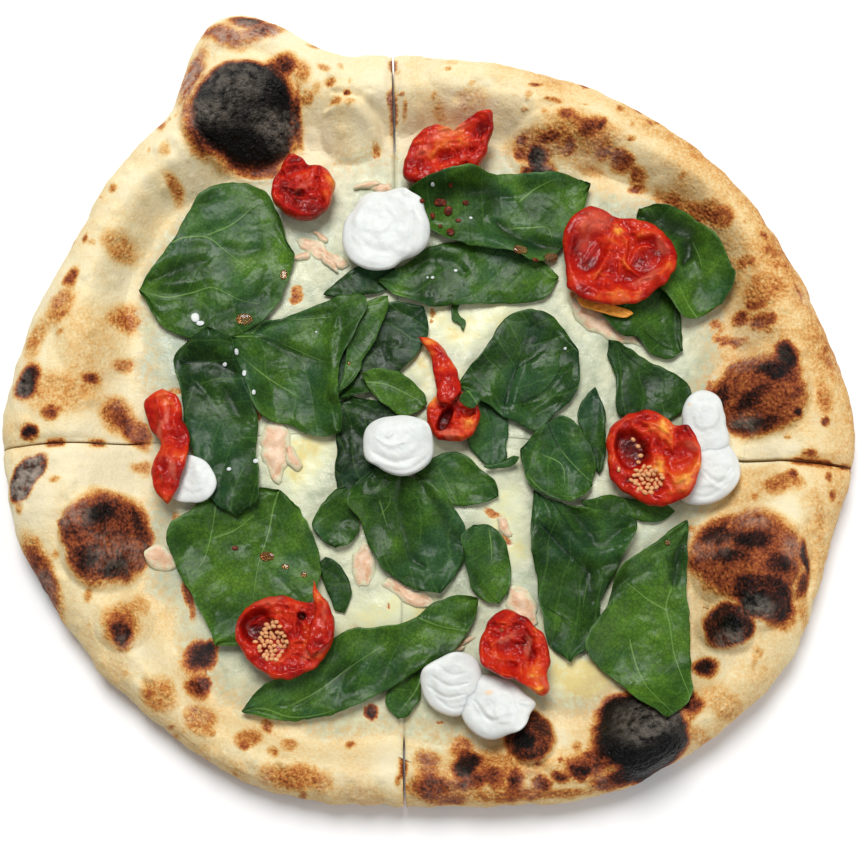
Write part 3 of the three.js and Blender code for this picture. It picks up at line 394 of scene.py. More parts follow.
class Recipe:
    """A material put together step by step from shader nodes."""

    def __init__(self, name):
        self.material = bpy.data.materials.new(name)
        self.material.use_nodes = True
        self.tree = self.material.node_tree
        self.shader = self.tree.nodes["Principled BSDF"]
        self.place = self.tree.nodes.new("ShaderNodeTexCoord").outputs["Object"]

    def add(self, kind, settings, **inputs):
        made = self.tree.nodes.new("ShaderNode" + kind)
        for setting, value in settings.items():
            setattr(made, setting, value)
        for name, value in inputs.items():
            socket = made.inputs[int(name[1:])] if name[0] == "_" else made.inputs[name]
            self.feed(socket, value)
        return made

    def feed(self, socket, value):
        if isinstance(value, bpy.types.NodeSocket):
            self.tree.links.new(value, socket)
        else:
            socket.default_value = value

    def mark(self, name):
        return self.add("Attribute", {"attribute_name": name}).outputs["Fac"]

    def noise(self, size, detail=3.0, rough=0.55):
        made = self.add("TexNoise", {}, Vector=self.place, Scale=1000 / size, Detail=detail,
                        Roughness=rough)
        return made.outputs["Fac"]

    def cells(self, size, feature="F1"):
        made = self.add("TexVoronoi", {"feature": feature}, Vector=self.place,
                        Scale=1000 / size)
        return made.outputs["Distance"]

    def combine(self, kind, first, second=0.0):
        return self.add("Math", {"operation": kind}, _0=first, _1=second).outputs[0]

    def sum(self, first, second):
        return self.combine("ADD", first, second)

    def times(self, first, second):
        return self.combine("MULTIPLY", first, second)

    def swing(self, noise, deep):
        """A noise, 0 to 1, as an unevenness to both sides of nothing."""
        return self.times(self.combine("SUBTRACT", noise, 0.5), deep)

    def between(self, value, low, high, to_low=0.0, to_high=1.0):
        made = self.add("MapRange", {"interpolation_type": "SMOOTHSTEP"}, Value=value,
                        _1=low, _2=high, _3=to_low, _4=to_high)
        return made.outputs[0]

    def ramp(self, value, stops):
        made = self.add("ValToRGB", {}, _0=value)
        band = made.color_ramp
        for place, tint in stops[1:-1]:
            band.elements.new(place)
        for element, (place, tint) in zip(band.elements, stops):
            element.position = place
            element.color = colour(*tint)
        return made.outputs["Color"]

    def mix(self, share, first, second):
        return self.add("Mix", {"data_type": "RGBA"}, _0=share, _6=first, _7=second).outputs[2]

    def bump(self, height, deep, under=None):
        made = self.add("Bump", {}, Height=height, Distance=deep / 1000)
        if under is not None:
            self.feed(made.inputs["Normal"], under)
        return made.outputs["Normal"]

    def finish(self, base, rough, normal, **constants):
        self.feed(self.shader.inputs["Base Color"], base)
        self.feed(self.shader.inputs["Roughness"], rough)
        self.feed(self.shader.inputs["Normal"], normal)
        for name, value in constants.items():
            self.shader.inputs[name.replace("_", " ")].default_value = value
        return self.material


def baked_skin(recipe, bake):
    """Colour and relief of baked dough: finely speckled, mottled where it is toasted, beaded
    where it is charred."""
    fine = recipe.noise(1.1, 4.0, 0.75)
    mottle = recipe.noise(4.2, 5.0, 0.65)
    toasted = recipe.between(bake, 0.12, 0.5)
    charred = recipe.between(bake, 0.85, 1.15)
    fine_deep = recipe.sum(recipe.times(toasted, 0.5), 0.42)
    mottle_deep = recipe.sum(recipe.times(toasted, 0.5), 0.16)
    level = recipe.sum(bake, recipe.swing(fine, fine_deep))
    level = recipe.sum(level, recipe.swing(mottle, mottle_deep))
    base = recipe.ramp(level, [
        (0.0, (236, 224, 188)), (0.1, (234, 216, 170)), (0.2, (228, 198, 142)),
        (0.32, (214, 165, 97)), (0.44, (192, 124, 58)), (0.56, (158, 84, 42)),
        (0.68, (124, 58, 33)), (0.82, (58, 27, 19)), (1.0, (10, 9, 9)),
    ])
    normal = recipe.bump(mottle, 0.5)
    knobs = recipe.times(recipe.between(recipe.cells(1.9), 0.0, 0.75, 1.0, 0.0), toasted)
    normal = recipe.bump(knobs, 0.5, normal)
    normal = recipe.bump(fine, 0.3, normal)
    beads = recipe.times(recipe.between(recipe.cells(1.0), 0.0, 0.7, 1.0, 0.0), charred)
    return base, recipe.bump(beads, 0.3, normal), recipe.between(charred, 0.0, 1.0, 0.58, 0.24)


def baked_dough():
    dough = Recipe("baked_dough")
    base, normal, rough = baked_skin(dough, dough.mark("toast"))
    flour = dough.times(dough.mark("flour"), dough.between(dough.noise(3, 4.0), 0.3, 0.65))
    base = dough.mix(flour, base, colour(214, 200, 182))
    return dough.finish(base, rough, normal, Specular_IOR_Level=0.12)


BAKED_DOUGH = baked_dough()
TURN_STEPS = 240                # mesh steps from cut to cut, and then in each stretch inwards
UNDER_EDGE, OUTER_SIDE, INNER_SIDE, UNDERSIDE = 10, 34, 36, 24
HIDDEN_BASE = (0.02, 0.045, 0.07, 0.1, 0.13, 0.17, 0.6, 1)     # inward from the foot, under cheese
KNIFE_PRESS, KNIFE_REACH = 0.16, 2.2    # how much lower the skin is at a cut, and how far from it
SEAM_BAKE = 0.66                # how brown the lips of the cuts are in places


def grid_quads(rows, columns):
    """The numbers of points laid out in rows, and the faces between them."""
    index = np.arange(rows * columns).reshape(rows, columns)
    quads = np.stack([index[:-1, :-1], index[1:, :-1], index[1:, 1:], index[:-1, 1:]], axis=-1)
    return index, quads.reshape(-1, 4)


def dough_quarter(start, end, push):
    """Points, faces and painted values of one quarter, from cut to cut."""
    degrees = np.linspace(start, end, TURN_STEPS + 1)[:, None]
    foot, crest, reach, height = rim_at(degrees)
    bulge = height * BULGE
    lean = np.linspace(0, np.pi / 2, UNDER_EDGE + 1)[None, 1:]
    under = (reach - FLAT_MARGIN * (1 - np.sin(lean)), bulge * (1 - np.cos(lean)))
    lean = np.linspace(0, np.pi / 2, OUTER_SIDE + 1)[None, 1:]
    outer = crest + (reach - crest) * np.cos(lean)
    inner = crest + (foot - crest) * np.linspace(0, 1, INNER_SIDE + 1)[None, 1:]
    hidden = foot - foot * np.array([HIDDEN_BASE])
    below = (reach - FLAT_MARGIN) * np.linspace(0, 1, UNDERSIDE + 1)[None, :]
    far = np.concatenate([below, under[0], outer, inner, hidden], axis=1)
    angle = np.radians(degrees)
    x = CROSSING[0] + far * np.cos(angle)
    y = CROSSING[1] + far * np.sin(angle)
    wide = np.broadcast_to(degrees, far.shape)
    z = crust_top(x, y, wide, far)
    flat_end = UNDERSIDE + 1
    side_end = flat_end + UNDER_EDGE
    z[:, :flat_end] = 0
    z[:, flat_end:side_end] = under[1]
    z[:, -2:] = BASE
    # The knife has pressed the skin down beside each cut.
    to_cut = far * np.radians(np.minimum(wide - start, end - wide))
    z -= KNIFE_PRESS * np.clip(z - BASE, 0, None) * np.exp(-(to_cut / KNIFE_REACH) ** 2)
    # The outside wall is uneven too.
    wall = np.zeros(far.shape)
    wall[:, flat_end:side_end + OUTER_SIDE // 2] = 1
    rough_wall = wall * (0.5 * grain(flat(x, y, z), 5, 41) + 0.2 * grain(flat(x, y, z), 2, 42))
    ease = step(0, 2.5, np.minimum(z, 4) + 0.4)
    x = x + rough_wall * ease * np.cos(angle) + push[0]
    y = y + rough_wall * ease * np.sin(angle) + push[1]
    seam = np.exp(-(to_cut / 1.4) ** 2) * step(7, 10, z) * step(0.2, 0.9, 0.5 + grain(flat(x, y), 7, 68))
    toast = np.maximum(skin_bake(x, y, wide), SEAM_BAKE * seam)
    low = 1 - step(2, 9, z)
    toast[:, flat_end:] += (low * 0.16)[:, flat_end:] * (far > crest)[:, flat_end:]
    here = flat(x, y)
    leopard = step(0.0, 0.8, grain(here, 13, 61) + 0.35 * grain(here, 5, 62))
    bottom = 0.24 + 0.1 * grain(here, 30, 63) + 0.44 * leopard
    toast[:, :flat_end] = bottom[:, :flat_end]
    flour = 0.2 * step(0.1, 0.8, grain(here, 12, 64)) + spots(x, y, ASH, 0.6, 66)
    flour[:, :flat_end] = 0.8 * step(-0.2, 0.7, grain(here, 9, 65))[:, :flat_end]
    index, quads = grid_quads(*far.shape)
    cuts = [index[:1], index[-1:, ::-1]]
    return flat(x, y, z).reshape(-1, 3), [quads, *cuts], {"toast": toast, "flour": flour}


for quarter, (start, end, push) in QUARTERS.items():
    points, faces, marks = dough_quarter(start, end, push)
    dough = new_piece("baked_" + quarter, points, faces, BAKED_DOUGH, marks)
    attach(dough, "root")
    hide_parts("dough_" + quarter)

# ---------------------------------------------------------------- The melted cheese
# Soft white cheese, melted to a sheet on each quarter and set again: creamy and yellowish where it pooled,
# with patches painted greyer as shade, and thin, grainy and greyish against the rim.

TOUCH_GAP = 0.4                 # air between pieces that lie on each other
CHEESE_THICK = 1.8
CHEESE_LEVEL = BASE + TOUCH_GAP + CHEESE_THICK
CHEESE_EDGE_LEVEL = 5.4         # where it has run thin at the foot of the rim
FILM = 0.35                     # the film that has crept up the rim
CHEESE_CREEP = 8                # how far up the rim it has crept
CHEESE_TURNS, CHEESE_RINGS = 120, 104
CUT_HEALED = 1.5                # how far from a cut it has run together over the gap again
HEALED_CREASE = 0.06            # how deep the crease is that is left there

# Where it is creamy, where painted shade makes it greyer, and where it is toasted: middle, radii, turn, how
# much.
POOLED = [
    ((16, 31), (34, 12), 6, 0.85), ((-8, 20), (13, 12), 0, 0.9), ((-51, -26), (11, 15), 0, 0.8),
    ((-40, -20), (10, 12), 0, 0.75), ((-12, -84), (24, 13), 10, 0.75), ((56, -106), (15, 11), -20, 1.15),
    ((66, -99), (9, 9), 0, 0.8), ((30, -50), (9, 18), 10, 0.7), ((60, 34), (14, 9), -30, 0.45),
    ((-60, -10), (8, 14), 0, 0.6), ((4, 5), (12, 10), 0, 0.8), ((-30, -86), (10, 8), 0, 0.6),
    ((46, -92), (9, 12), 0, 0.85), ((-47, 52), (12, 9), -20, 0.35),
]
SHADED_WHITE = [
    ((-104, 17), (13, 15), 0, 0.9), ((-88, -28), (11, 13), 0, 0.8), ((88, -52), (8, 9), 0, 0.9),
    ((2, 103), (9, 8), 0, 0.8), ((-58, 80), (5, 7), 0, 0.5), ((104, 33), (9, 10), 0, 0.4),
    ((-98, -62), (13, 9), 0, 0.7), ((-80, -92), (8, 9), 0, 0.6), ((42, -76), (5, 8), 0, 0.7),
    ((-46, 62), (9, 7), 0, 0.6), ((66, 30), (7, 6), 0, 0.6),
]
CHEESE_TOAST = [
    ((24, -44), (4, 3), 0, 0.5), ((-11, 21), (2, 2.6), 0, 0.6), ((1, 31), (2, 2), 0, 0.5),
    ((-53, 42), (3, 4), 0, 0.5), ((30, -55), (3, 4), 0, 0.42), ((-55, 40), (3, 2.4), 0, 0.55),
    ((58, 40), (4, 3), -30, 0.4), ((-64, -8), (3, 5), 0, 0.5), ((80, 25), (5, 3), -30, 0.35),
    ((-29, -88), (3, 3), 0, 0.35), ((-15, -79), (1.6, 3.4), 0, 0.45), ((-12, 49), (2, 1.6), 0, 0.4),
    ((-95, -48), (3, 5), 0, 0.4), ((-89, -75), (3.5, 7), 14, 0.65),
    ((100, -52), (3, 3), 0, 0.4), ((-99, 2), (4, 3), 0, 0.4), ((-68, 84), (3, 4), 0, 0.35),
]


def cheese_edge(degrees):
    """How far out the cheese reaches at each angle."""
    angle = np.radians(degrees)
    ring = flat(120 * np.cos(angle), 120 * np.sin(angle))
    foot = rim_at(degrees)[0]
    return foot + CHEESE_CREEP + 3 * grain(ring, 13, 71) + 1.2 * grain(ring, 4, 72)


def cheese_top(x, y, degrees, far):
    """Height of the cheese: a low uneven sheet that runs thin and hugs the rim."""
    foot = rim_at(degrees)[0]
    here = flat(x, y)
    swell = 0.45 * np.sin(0.13 * x + 1) * np.cos(0.11 * y - 0.5)
    swell = swell + 0.2 * np.sin(0.29 * x - 0.21 * y)
    smooth = spots(x, y, POOLED, 0.5, 73)
    lumps = 0.3 * grain(here, 9, 74) + (1 - 0.7 * smooth) * (0.24 * grain(here, 4, 75)
                                                             + 0.14 * grain(here, 1.9, 76))
    thin = step(-11, -1, far - foot)
    level = CHEESE_LEVEL + (swell + lumps) * (1 - 0.6 * thin)
    level = level + (CHEESE_EDGE_LEVEL - CHEESE_LEVEL) * thin
    to_end = far - cheese_edge(degrees)
    gone = np.maximum(step(-5, 0, to_end), step(0.36, 0.48, skin_bake(x, y, degrees)))
    film = crust_top(x, y, degrees, far) + FILM * (1 - 2.4 * gone)
    return (level + film + np.sqrt((level - film) ** 2 + 0.25)) / 2 - 0.12


def melted_cheese():
    cheese = Recipe("melted_cheese")
    creamy = cheese.sum(cheese.mark("cream"), cheese.swing(cheese.noise(6, 5.0, 0.65), 1.2))
    base = cheese.ramp(creamy, [
        (0.0, (152, 162, 136)), (0.2, (182, 188, 160)), (0.42, (204, 206, 176)),
        (0.7, (213, 215, 177)), (0.9, (220, 215, 163)), (1.0, (220, 204, 138)),
    ])
    # Patches of set cheese made greyer: painted shade.
    shaded_white = cheese.times(cheese.mark("shaded_white"), cheese.between(cheese.noise(4, 4.0), 0.2, 0.6))
    base = cheese.mix(cheese.times(shaded_white, 0.8), base, colour(178, 190, 172))
    see_through = cheese.between(cheese.noise(2.2, 4.0), 0.3, 0.72)
    see_through = cheese.times(cheese.mark("thin"), see_through)
    base = cheese.mix(see_through, base, colour(206, 180, 130))
    skin = baked_skin(cheese, cheese.mark("skin"))[0]
    bare = cheese.sum(cheese.mark("bare"), cheese.swing(cheese.noise(3, 4.0), 1.2))
    bare = cheese.combine("MAXIMUM", cheese.between(bare, 0.3, 0.7), cheese.mark("bare"))
    base = cheese.mix(bare, base, skin)
    bumpy = cheese.times(cheese.between(cheese.mark("cream"), 0.45, 0.85, 1.0, 0.25),
                         cheese.noise(2.4, 5.0, 0.65))
    normal = cheese.bump(bumpy, 0.35)
    normal = cheese.bump(cheese.noise(0.8, 2.0), 0.03, normal)
    normal = cheese.bump(cheese.times(bare, cheese.noise(1.1, 4.0, 0.75)), 0.3, normal)
    rough = cheese.between(cheese.noise(5), 0.35, 0.65, 0.16, 0.42)
    rough = cheese.sum(rough, cheese.times(bare, 0.24))
    return cheese.finish(base, rough, normal, Subsurface_Weight=0.15, Subsurface_Scale=0.0015,
                         Subsurface_Radius=(1.0, 0.8, 0.5), Specular_IOR_Level=0.3)


MELTED_CHEESE = melted_cheese()

for quarter, (start, end, push) in QUARTERS.items():
    degrees = np.linspace(start, end, CHEESE_TURNS)[:, None]
    edge = cheese_edge(degrees)
    far = edge * np.linspace(1, 0.02, CHEESE_RINGS)[None, :] ** 0.8
    angle = np.radians(degrees)
    x = CROSSING[0] + push[0] + far * np.cos(angle)
    y = CROSSING[1] + push[1] + far * np.sin(angle)
    wide = np.broadcast_to(degrees, far.shape)
    z = cheese_top(x, y, wide, far)
    # Beside the cuts it has run together again over the gap, with a faint crease left.
    to_cut = far * np.radians(np.minimum(wide - start, end - wide))
    joined = np.exp(-(to_cut / CUT_HEALED) ** 2) * (far < edge - CHEESE_CREEP)
    x = x - push[0] * joined
    y = y - push[1] * joined
    z = z - HEALED_CREASE * joined
    # Each row closes underneath, just clear of the base.
    low = np.minimum(z - 0.3, BASE + TOUCH_GAP / 2)[:, ::-1][:, :1]
    z = np.concatenate([z[:, :1] - 0.5, z, low, np.minimum(z[:, :1] - 0.6, BASE + 0.2)], axis=1)
    x = np.concatenate([x[:, :1], x, x[:, -1:], x[:, :1] * 0.97 + CROSSING[0] * 0.03], axis=1)
    y = np.concatenate([y[:, :1], y, y[:, -1:], y[:, :1] * 0.97 + CROSSING[1] * 0.03], axis=1)
    far = np.hypot(x - CROSSING[0], y - CROSSING[1])
    foot = rim_at(wide[:, :1])[0]
    index, quads = grid_quads(*x.shape)
    closing = np.stack([index[:-1, -1], index[1:, -1], index[1:, 0], index[:-1, 0]], axis=-1)
    points = flat(x, y, z).reshape(-1, 3)
    skin = skin_bake(x, y, wide[:, :1]) * step(-16, -6, far - foot)
    toasted = spots(x, y, CHEESE_TOAST, 1.0, 81)
    run_out = step(-12, -2, far - cheese_edge(wide[:, :1]))
    marks = {
        "cream": 0.34 + 0.56 * spots(x, y, POOLED, 0.8, 77) + 0.2 * grain(flat(x, y), 12, 78),
        "shaded_white": spots(x, y, SHADED_WHITE, 0.9, 79),
        "thin": 1.25 * step(-16, 3, far - foot),
        "skin": np.maximum(skin, toasted),
        "bare": np.maximum(run_out, step(0.3, 0.42, np.maximum(toasted, skin))),
    }
    ends = [index[0][None, ::-1], index[-1][None, :]]
    faces = [quads[:, ::-1], closing[:, ::-1], *ends]
    cheese = new_piece("cheese_sheet_" + quarter, points, faces, MELTED_CHEESE, marks)
    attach(cheese, "root")
    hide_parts("cheese_" + quarter)

# ---------------------------------------------------------------- Salmon flakes
# Flakes of cooked salmon pulled apart by hand and scattered on the cheese before baking:
# pale peach, in short strands, slightly browned on top. Pieces are laid from here on, each
# on the highest of what is already there.

CELL = 0.5                      # the laid surface is kept as heights on a square grid
MAP_REACH = 182
ticks = np.arange(-MAP_REACH, MAP_REACH + 2 * CELL, 2 * CELL)
map_x, map_y = np.meshgrid(ticks, ticks, indexing="ij")
map_far = np.hypot(map_x - CROSSING[0], map_y - CROSSING[1])
map_degrees = np.degrees(np.arctan2(map_y - CROSSING[1], map_x - CROSSING[0]))
bare = crust_top(map_x, map_y, map_degrees, map_far)
covered = np.maximum(bare, cheese_top(map_x, map_y, map_degrees, map_far))
surface = np.where(map_far < rim_at(map_degrees)[2], bare, 0)
surface = np.where(map_far < cheese_edge(map_degrees), covered, surface)
for _ in range(2):
    finer = np.repeat(surface, 2, axis=0)[:-1]
    finer[1::2] = (surface[:-1] + surface[1:]) / 2
    surface = finer.T


# How a laid piece bridges hollows: evened over wide steps first, then over fine ones.
LIMP = (10, 10, 6, 6, 3, 3, 3, 1, 1, 1, 1, 1, 1)
FIRM = (14, 14, 14, 14, 8, 8, 8, 8, 4, 4, 4, 4, 2, 2, 2, 2, 1, 1, 1, 1)
LAST_EVENINGS = 4               # and at the end it sinks a little into small gaps


def evened(height, inside, far):
    """The mean of the four places that far away, of those inside the piece."""
    sides = ((far, 0), (-far, 0), (0, far), (0, -far))
    count = sum(np.roll(inside, side, (0, 1)) for side in sides)
    return sum(np.roll(height * inside, side, (0, 1)) for side in sides) / np.maximum(count, 1)


def widened(cells):
    """Each cell takes the highest value among itself and its neighbours."""
    for axis in (0, 1):
        cells = np.maximum(cells, np.maximum(np.roll(cells, 1, axis), np.roll(cells, -1, axis)))
    return cells


def laid(x, y, stiffness):
    """How high the underside of a piece lies over each of its points."""
    margin = max(stiffness) + 4
    i = (x + MAP_REACH) / CELL
    j = (y + MAP_REACH) / CELL
    first_i = max(int(i.min()) - margin, 0)
    first_j = max(int(j.min()) - margin, 0)
    part = surface[first_i:int(i.max()) + margin, first_j:int(j.max()) + margin]
    i = i - first_i
    j = j - first_j
    support = widened(part) + TOUCH_GAP
    inside = np.zeros(part.shape)
    inside[np.rint(i).astype(int), np.rint(j).astype(int)] = 1
    inside = widened(widened(inside))
    height = support
    for far in stiffness:
        height = np.maximum(support, evened(height, inside, far))
    for _ in range(LAST_EVENINGS):
        height = np.maximum(support - 0.6 * TOUCH_GAP, evened(height, inside, 1))
    low_i = np.floor(i).astype(int)
    low_j = np.floor(j).astype(int)
    a = i - low_i
    b = j - low_j
    lower = height[low_i, low_j] * (1 - a) + height[low_i + 1, low_j] * a
    upper = height[low_i, low_j + 1] * (1 - a) + height[low_i + 1, low_j + 1] * a
    return lower * (1 - b) + upper * b


def raise_surface(x, y, top):
    """Adds a laid piece to the surface that the next one lies on."""
    i = np.floor((x + MAP_REACH) / CELL).astype(int)
    j = np.floor((y + MAP_REACH) / CELL).astype(int)
    for side in np.ndindex(2, 2):
        np.maximum.at(surface, (i + side[0], j + side[1]), top)


STATIONS = [0.1, 0.3, 0.5, 0.7, 0.9]    # where a long piece's half-widths are given
SHEET_GRID = 0.88               # how fine the mesh of a leaf or flake is
SIDE_POINTS = 300               # points along a long piece's edge when its length is measured


def side_line(stem, tip, widths, side, t):
    """The smooth edge of a long piece on one side, through its half-widths."""
    start = np.array(stem, float)
    along = np.array(tip, float) - start
    across = np.array([-along[1], along[0]]) / math.hypot(*along) * side
    inner = [start + along * share + across * width for share, width in zip(STATIONS, widths)]
    return curve_through([start, *inner, start + along], t)


def long_plan(stem, tip, left, right, seed, ragged=1.0, spacing=SHEET_GRID):
    """A long piece laid flat, in rows from stem to tip with a slightly ragged outline."""
    fine = np.linspace(0, 1, SIDE_POINTS)
    sides = [side_line(stem, tip, right, -1, fine), side_line(stem, tip, left, 1, fine)]
    steps = sum(np.linalg.norm(np.diff(side, axis=0), axis=1) for side in sides) / 2
    walked = np.concatenate([[0], np.cumsum(steps)])
    rows = max(8, int(walked[-1] / spacing))
    u = np.interp(np.linspace(0.006, 0.994, rows) * walked[-1], walked, fine)
    columns = max(5, int((max(left) + max(right)) / spacing) + 2)
    v = np.linspace(-1, 1, columns)[None, :]
    low = side_line(stem, tip, right, -1, u)[:, None]
    high = side_line(stem, tip, left, 1, u)[:, None]
    plan = low + (high - low) * (v[..., None] + 1) / 2
    here = flat(plan[..., 0], plan[..., 1])
    x = here[..., 0] + ragged * (0.7 * grain(here, 7, seed) + 0.3 * grain(here, 2.6, seed + 1))
    y = here[..., 1] + ragged * (0.7 * grain(here, 7, seed + 2) + 0.3 * grain(here, 2.6, seed + 3))
    return x, y, u[:, None], v


def two_sided(x, y, under, top, faces, border):
    """Points and faces of a closed piece between an underside and a top of like layout."""
    points = np.concatenate([flat(x, y, side).reshape(-1, 3) for side in (top, under)])
    after = np.roll(border, -1)
    wall = np.stack([border + x.size, after + x.size, after, border], axis=1)
    return points, [*faces, *(group[:, ::-1] + x.size for group in faces), wall]


def grid_border(index):
    """The numbers of the outermost points, in a row round the piece."""
    return np.concatenate([index[:-1, 0], index[-1, :-1], index[:0:-1, -1], index[0, :0:-1]])


def join(parts):
    """The points and faces of several parts as those of one."""
    points, faces, count = [], [], 0
    for part_points, part_faces in parts:
        points.append(part_points)
        faces += [group + count for group in part_faces]
        count += len(part_points)
    return np.concatenate(points), faces


def both(values, shape):
    """The same painted values on the top and the underside."""
    return np.tile(np.broadcast_to(values, shape).ravel(), 2)


FLAKE_THICK = 1.2
FLAKES = [                      # stem, tip, half-widths left and right
    ((-52, 64), (-32, 52), [3, 4, 3, 2, 2], [2, 3, 4, 3, 2]),
    ((-27, 86), (-13, 83), [2, 3, 2, 3, 2], [2, 2, 3, 2, 2]),
    ((-60, -8), (-58, -34), [3, 6, 5, 5, 3], [3, 5, 6, 5, 3]),
    ((-26, -55), (-24, -73), [1.5, 3, 4.5, 5, 4], [1.5, 3, 4, 5, 4]),
    ((-18, -70), (2, -81), [3, 4, 4, 3, 2], [4, 5, 4.5, 3.5, 1.5]),
    ((3, -101), (16, -92), [1.5, 2, 2, 2, 1.5], [2, 2, 2, 2, 1.5]),
    ((31, -72), (38, -90), [3, 5, 6, 5, 4], [3, 5, 5, 5, 3]),
    ((53, 38), (82, 20), [3, 4, 4, 4, 2], [3, 4, 5, 4, 2]),
    ((-107, -59), (-95, -66), [3, 5, 5, 4, 3], [3, 4, 5, 4, 3]),
]


def cooked_salmon():
    salmon = Recipe("cooked_salmon")
    tint = salmon.sum(salmon.mark("strand"), salmon.swing(salmon.noise(2.0, 5.0, 0.7), 1.1))
    base = salmon.ramp(tint, [(0.0, (188, 138, 98)), (0.35, (214, 172, 136)),
                              (0.65, (224, 190, 158)), (1.0, (232, 212, 186))])
    browned = salmon.between(salmon.noise(6, 3.0), 0.55, 0.7)
    base = salmon.mix(salmon.times(browned, 0.6), base, colour(188, 122, 70))
    melted = salmon.sum(salmon.mark("edge"), salmon.swing(salmon.noise(2.5, 4.0), 1.4))
    base = salmon.mix(salmon.between(melted, 0.4, 0.9), base, colour(212, 208, 174))
    normal = salmon.bump(salmon.noise(1.1, 4.0), 0.2)
    return salmon.finish(base, 0.4, normal, Subsurface_Weight=0.2, Subsurface_Scale=0.0015,
                         Subsurface_Radius=(1.0, 0.5, 0.3), Specular_IOR_Level=0.35)


COOKED_SALMON = cooked_salmon()


def flake(stem, tip, left, right, thick, seed):
    """Points, faces and painted values of one laid flake."""
    x, y, u, v = long_plan(stem, tip, left, right, seed, 2.4)
    strands = np.sin(7 * v + 4 * u + 5 * grain(flat(x, y), 4, seed + 20))
    body = (1 - 0.5 * v * v) * (0.55 + 0.45 * np.sin(np.pi * u))
    rounded = np.sqrt(np.clip(1 - v ** 4, 0, 1) * np.clip(1 - (2 * u - 1) ** 8, 0, 1))
    deep = thick * body * (0.7 + 0.08 * strands + 0.5 * grain(flat(x, y), 3.4, seed + 40))
    edge = np.maximum(np.abs(v), np.abs(2 * u - 1))
    under = laid(x, y, LIMP) - TOUCH_GAP - 0.6 * step(0.72, 1, edge)
    top = under + 0.08 + np.maximum(deep, 0.1) * rounded
    raise_surface(x, y, top)
    index, quads = grid_quads(*x.shape)
    points, faces = two_sided(x, y, under, top, [quads], grid_border(index))
    marks = {"strand": both(0.54 + 0.2 * strands, x.shape), "edge": both(edge, x.shape)}
    return points, faces, marks


for number, (stem, tip, left, right) in enumerate(FLAKES, 1):
    points, faces, marks = flake(stem, tip, left, right, FLAKE_THICK, 100 + number)
    salmon = new_piece(f"salmon_flake_{number:02d}", points, faces, COOKED_SALMON, marks)
    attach(salmon, "root")
    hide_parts(f"salmon_{number:02d}")

SHRED_THICK = 0.9
SHREDS = [                      # the small shreds between them: stem, tip, half-width
    ((-55, 56), (-46, 58), 1.5), ((-42, 58), (-36, 49), 1.6), ((-47, 67), (-41, 61), 1.4),
    ((4, -100), (12, -95), 1.3), ((-29, 84), (-20, 87), 1.3), ((-54, -20), (-51, -30), 1.8),
    ((27, -46), (31, -56), 2.0),
]
SHRED_TAPER = (0.7, 1, 1.1, 1, 0.6)
laid_shreds = []
for number, (stem, tip, half_width) in enumerate(SHREDS):
    widths = [half_width * share for share in SHRED_TAPER]
    laid_shreds.append(flake(stem, tip, widths, widths, SHRED_THICK, 170 + number))
points, faces = join([shred[:2] for shred in laid_shreds])
marks = {mark: np.concatenate([shred[2][mark] for shred in laid_shreds]) for mark in ("strand", "edge")}
shreds = new_piece("salmon_shreds", points, faces, COOKED_SALMON, marks)
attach(shreds, "root")

# ---------------------------------------------------------------- Spinach leaves
# Whole spinach leaves, wilted by the heat and laid loosely over each other: thin glossy
# blades puckered between their side veins, folded and creased, with paler ribs.

LEAF_THICK = 0.5
LEAF_RIPPLES = 17               # how many radians of wave lie along an edge
RIB_HALF_WIDTH = 0.32
RIBS = ("rib_a", "rib_b", "rib_c")
VEIN_SPACING = 9                # from one side vein to the next along the rib
VEIN_LEAN = 0.75                # how far a side vein has run on for each millimetre out


def beside(x, y, points):
    """Signed distance from a rib, share of the way along it, and its length."""
    line = curve_through(points, np.linspace(0, 1, 6 * len(points)))
    lengths = np.linalg.norm(np.diff(line, axis=0), axis=1)
    walked = np.concatenate([[0], np.cumsum(lengths)])
    nearest = np.full(x.shape, np.inf)
    away = np.zeros(x.shape)
    share = np.zeros(x.shape)
    for k in range(len(line) - 1):
        (px, py), (dx, dy) = line[k], (line[k + 1] - line[k]) / lengths[k]
        along = (x - px) * dx + (y - py) * dy
        low = -np.inf if k == 0 else 0
        high = np.inf if k == len(line) - 2 else lengths[k]
        held = np.clip(along, low, high)
        gone = np.hypot(x - px - held * dx, y - py - held * dy)
        side = np.sign((y - py) * dx - (x - px) * dy)
        closer = gone < nearest
        nearest = np.where(closer, gone, nearest)
        away = np.where(closer, gone * side, away)
        share = np.where(closer, (walked[k] + held) / walked[-1], share)
    return away, share, walked[-1]


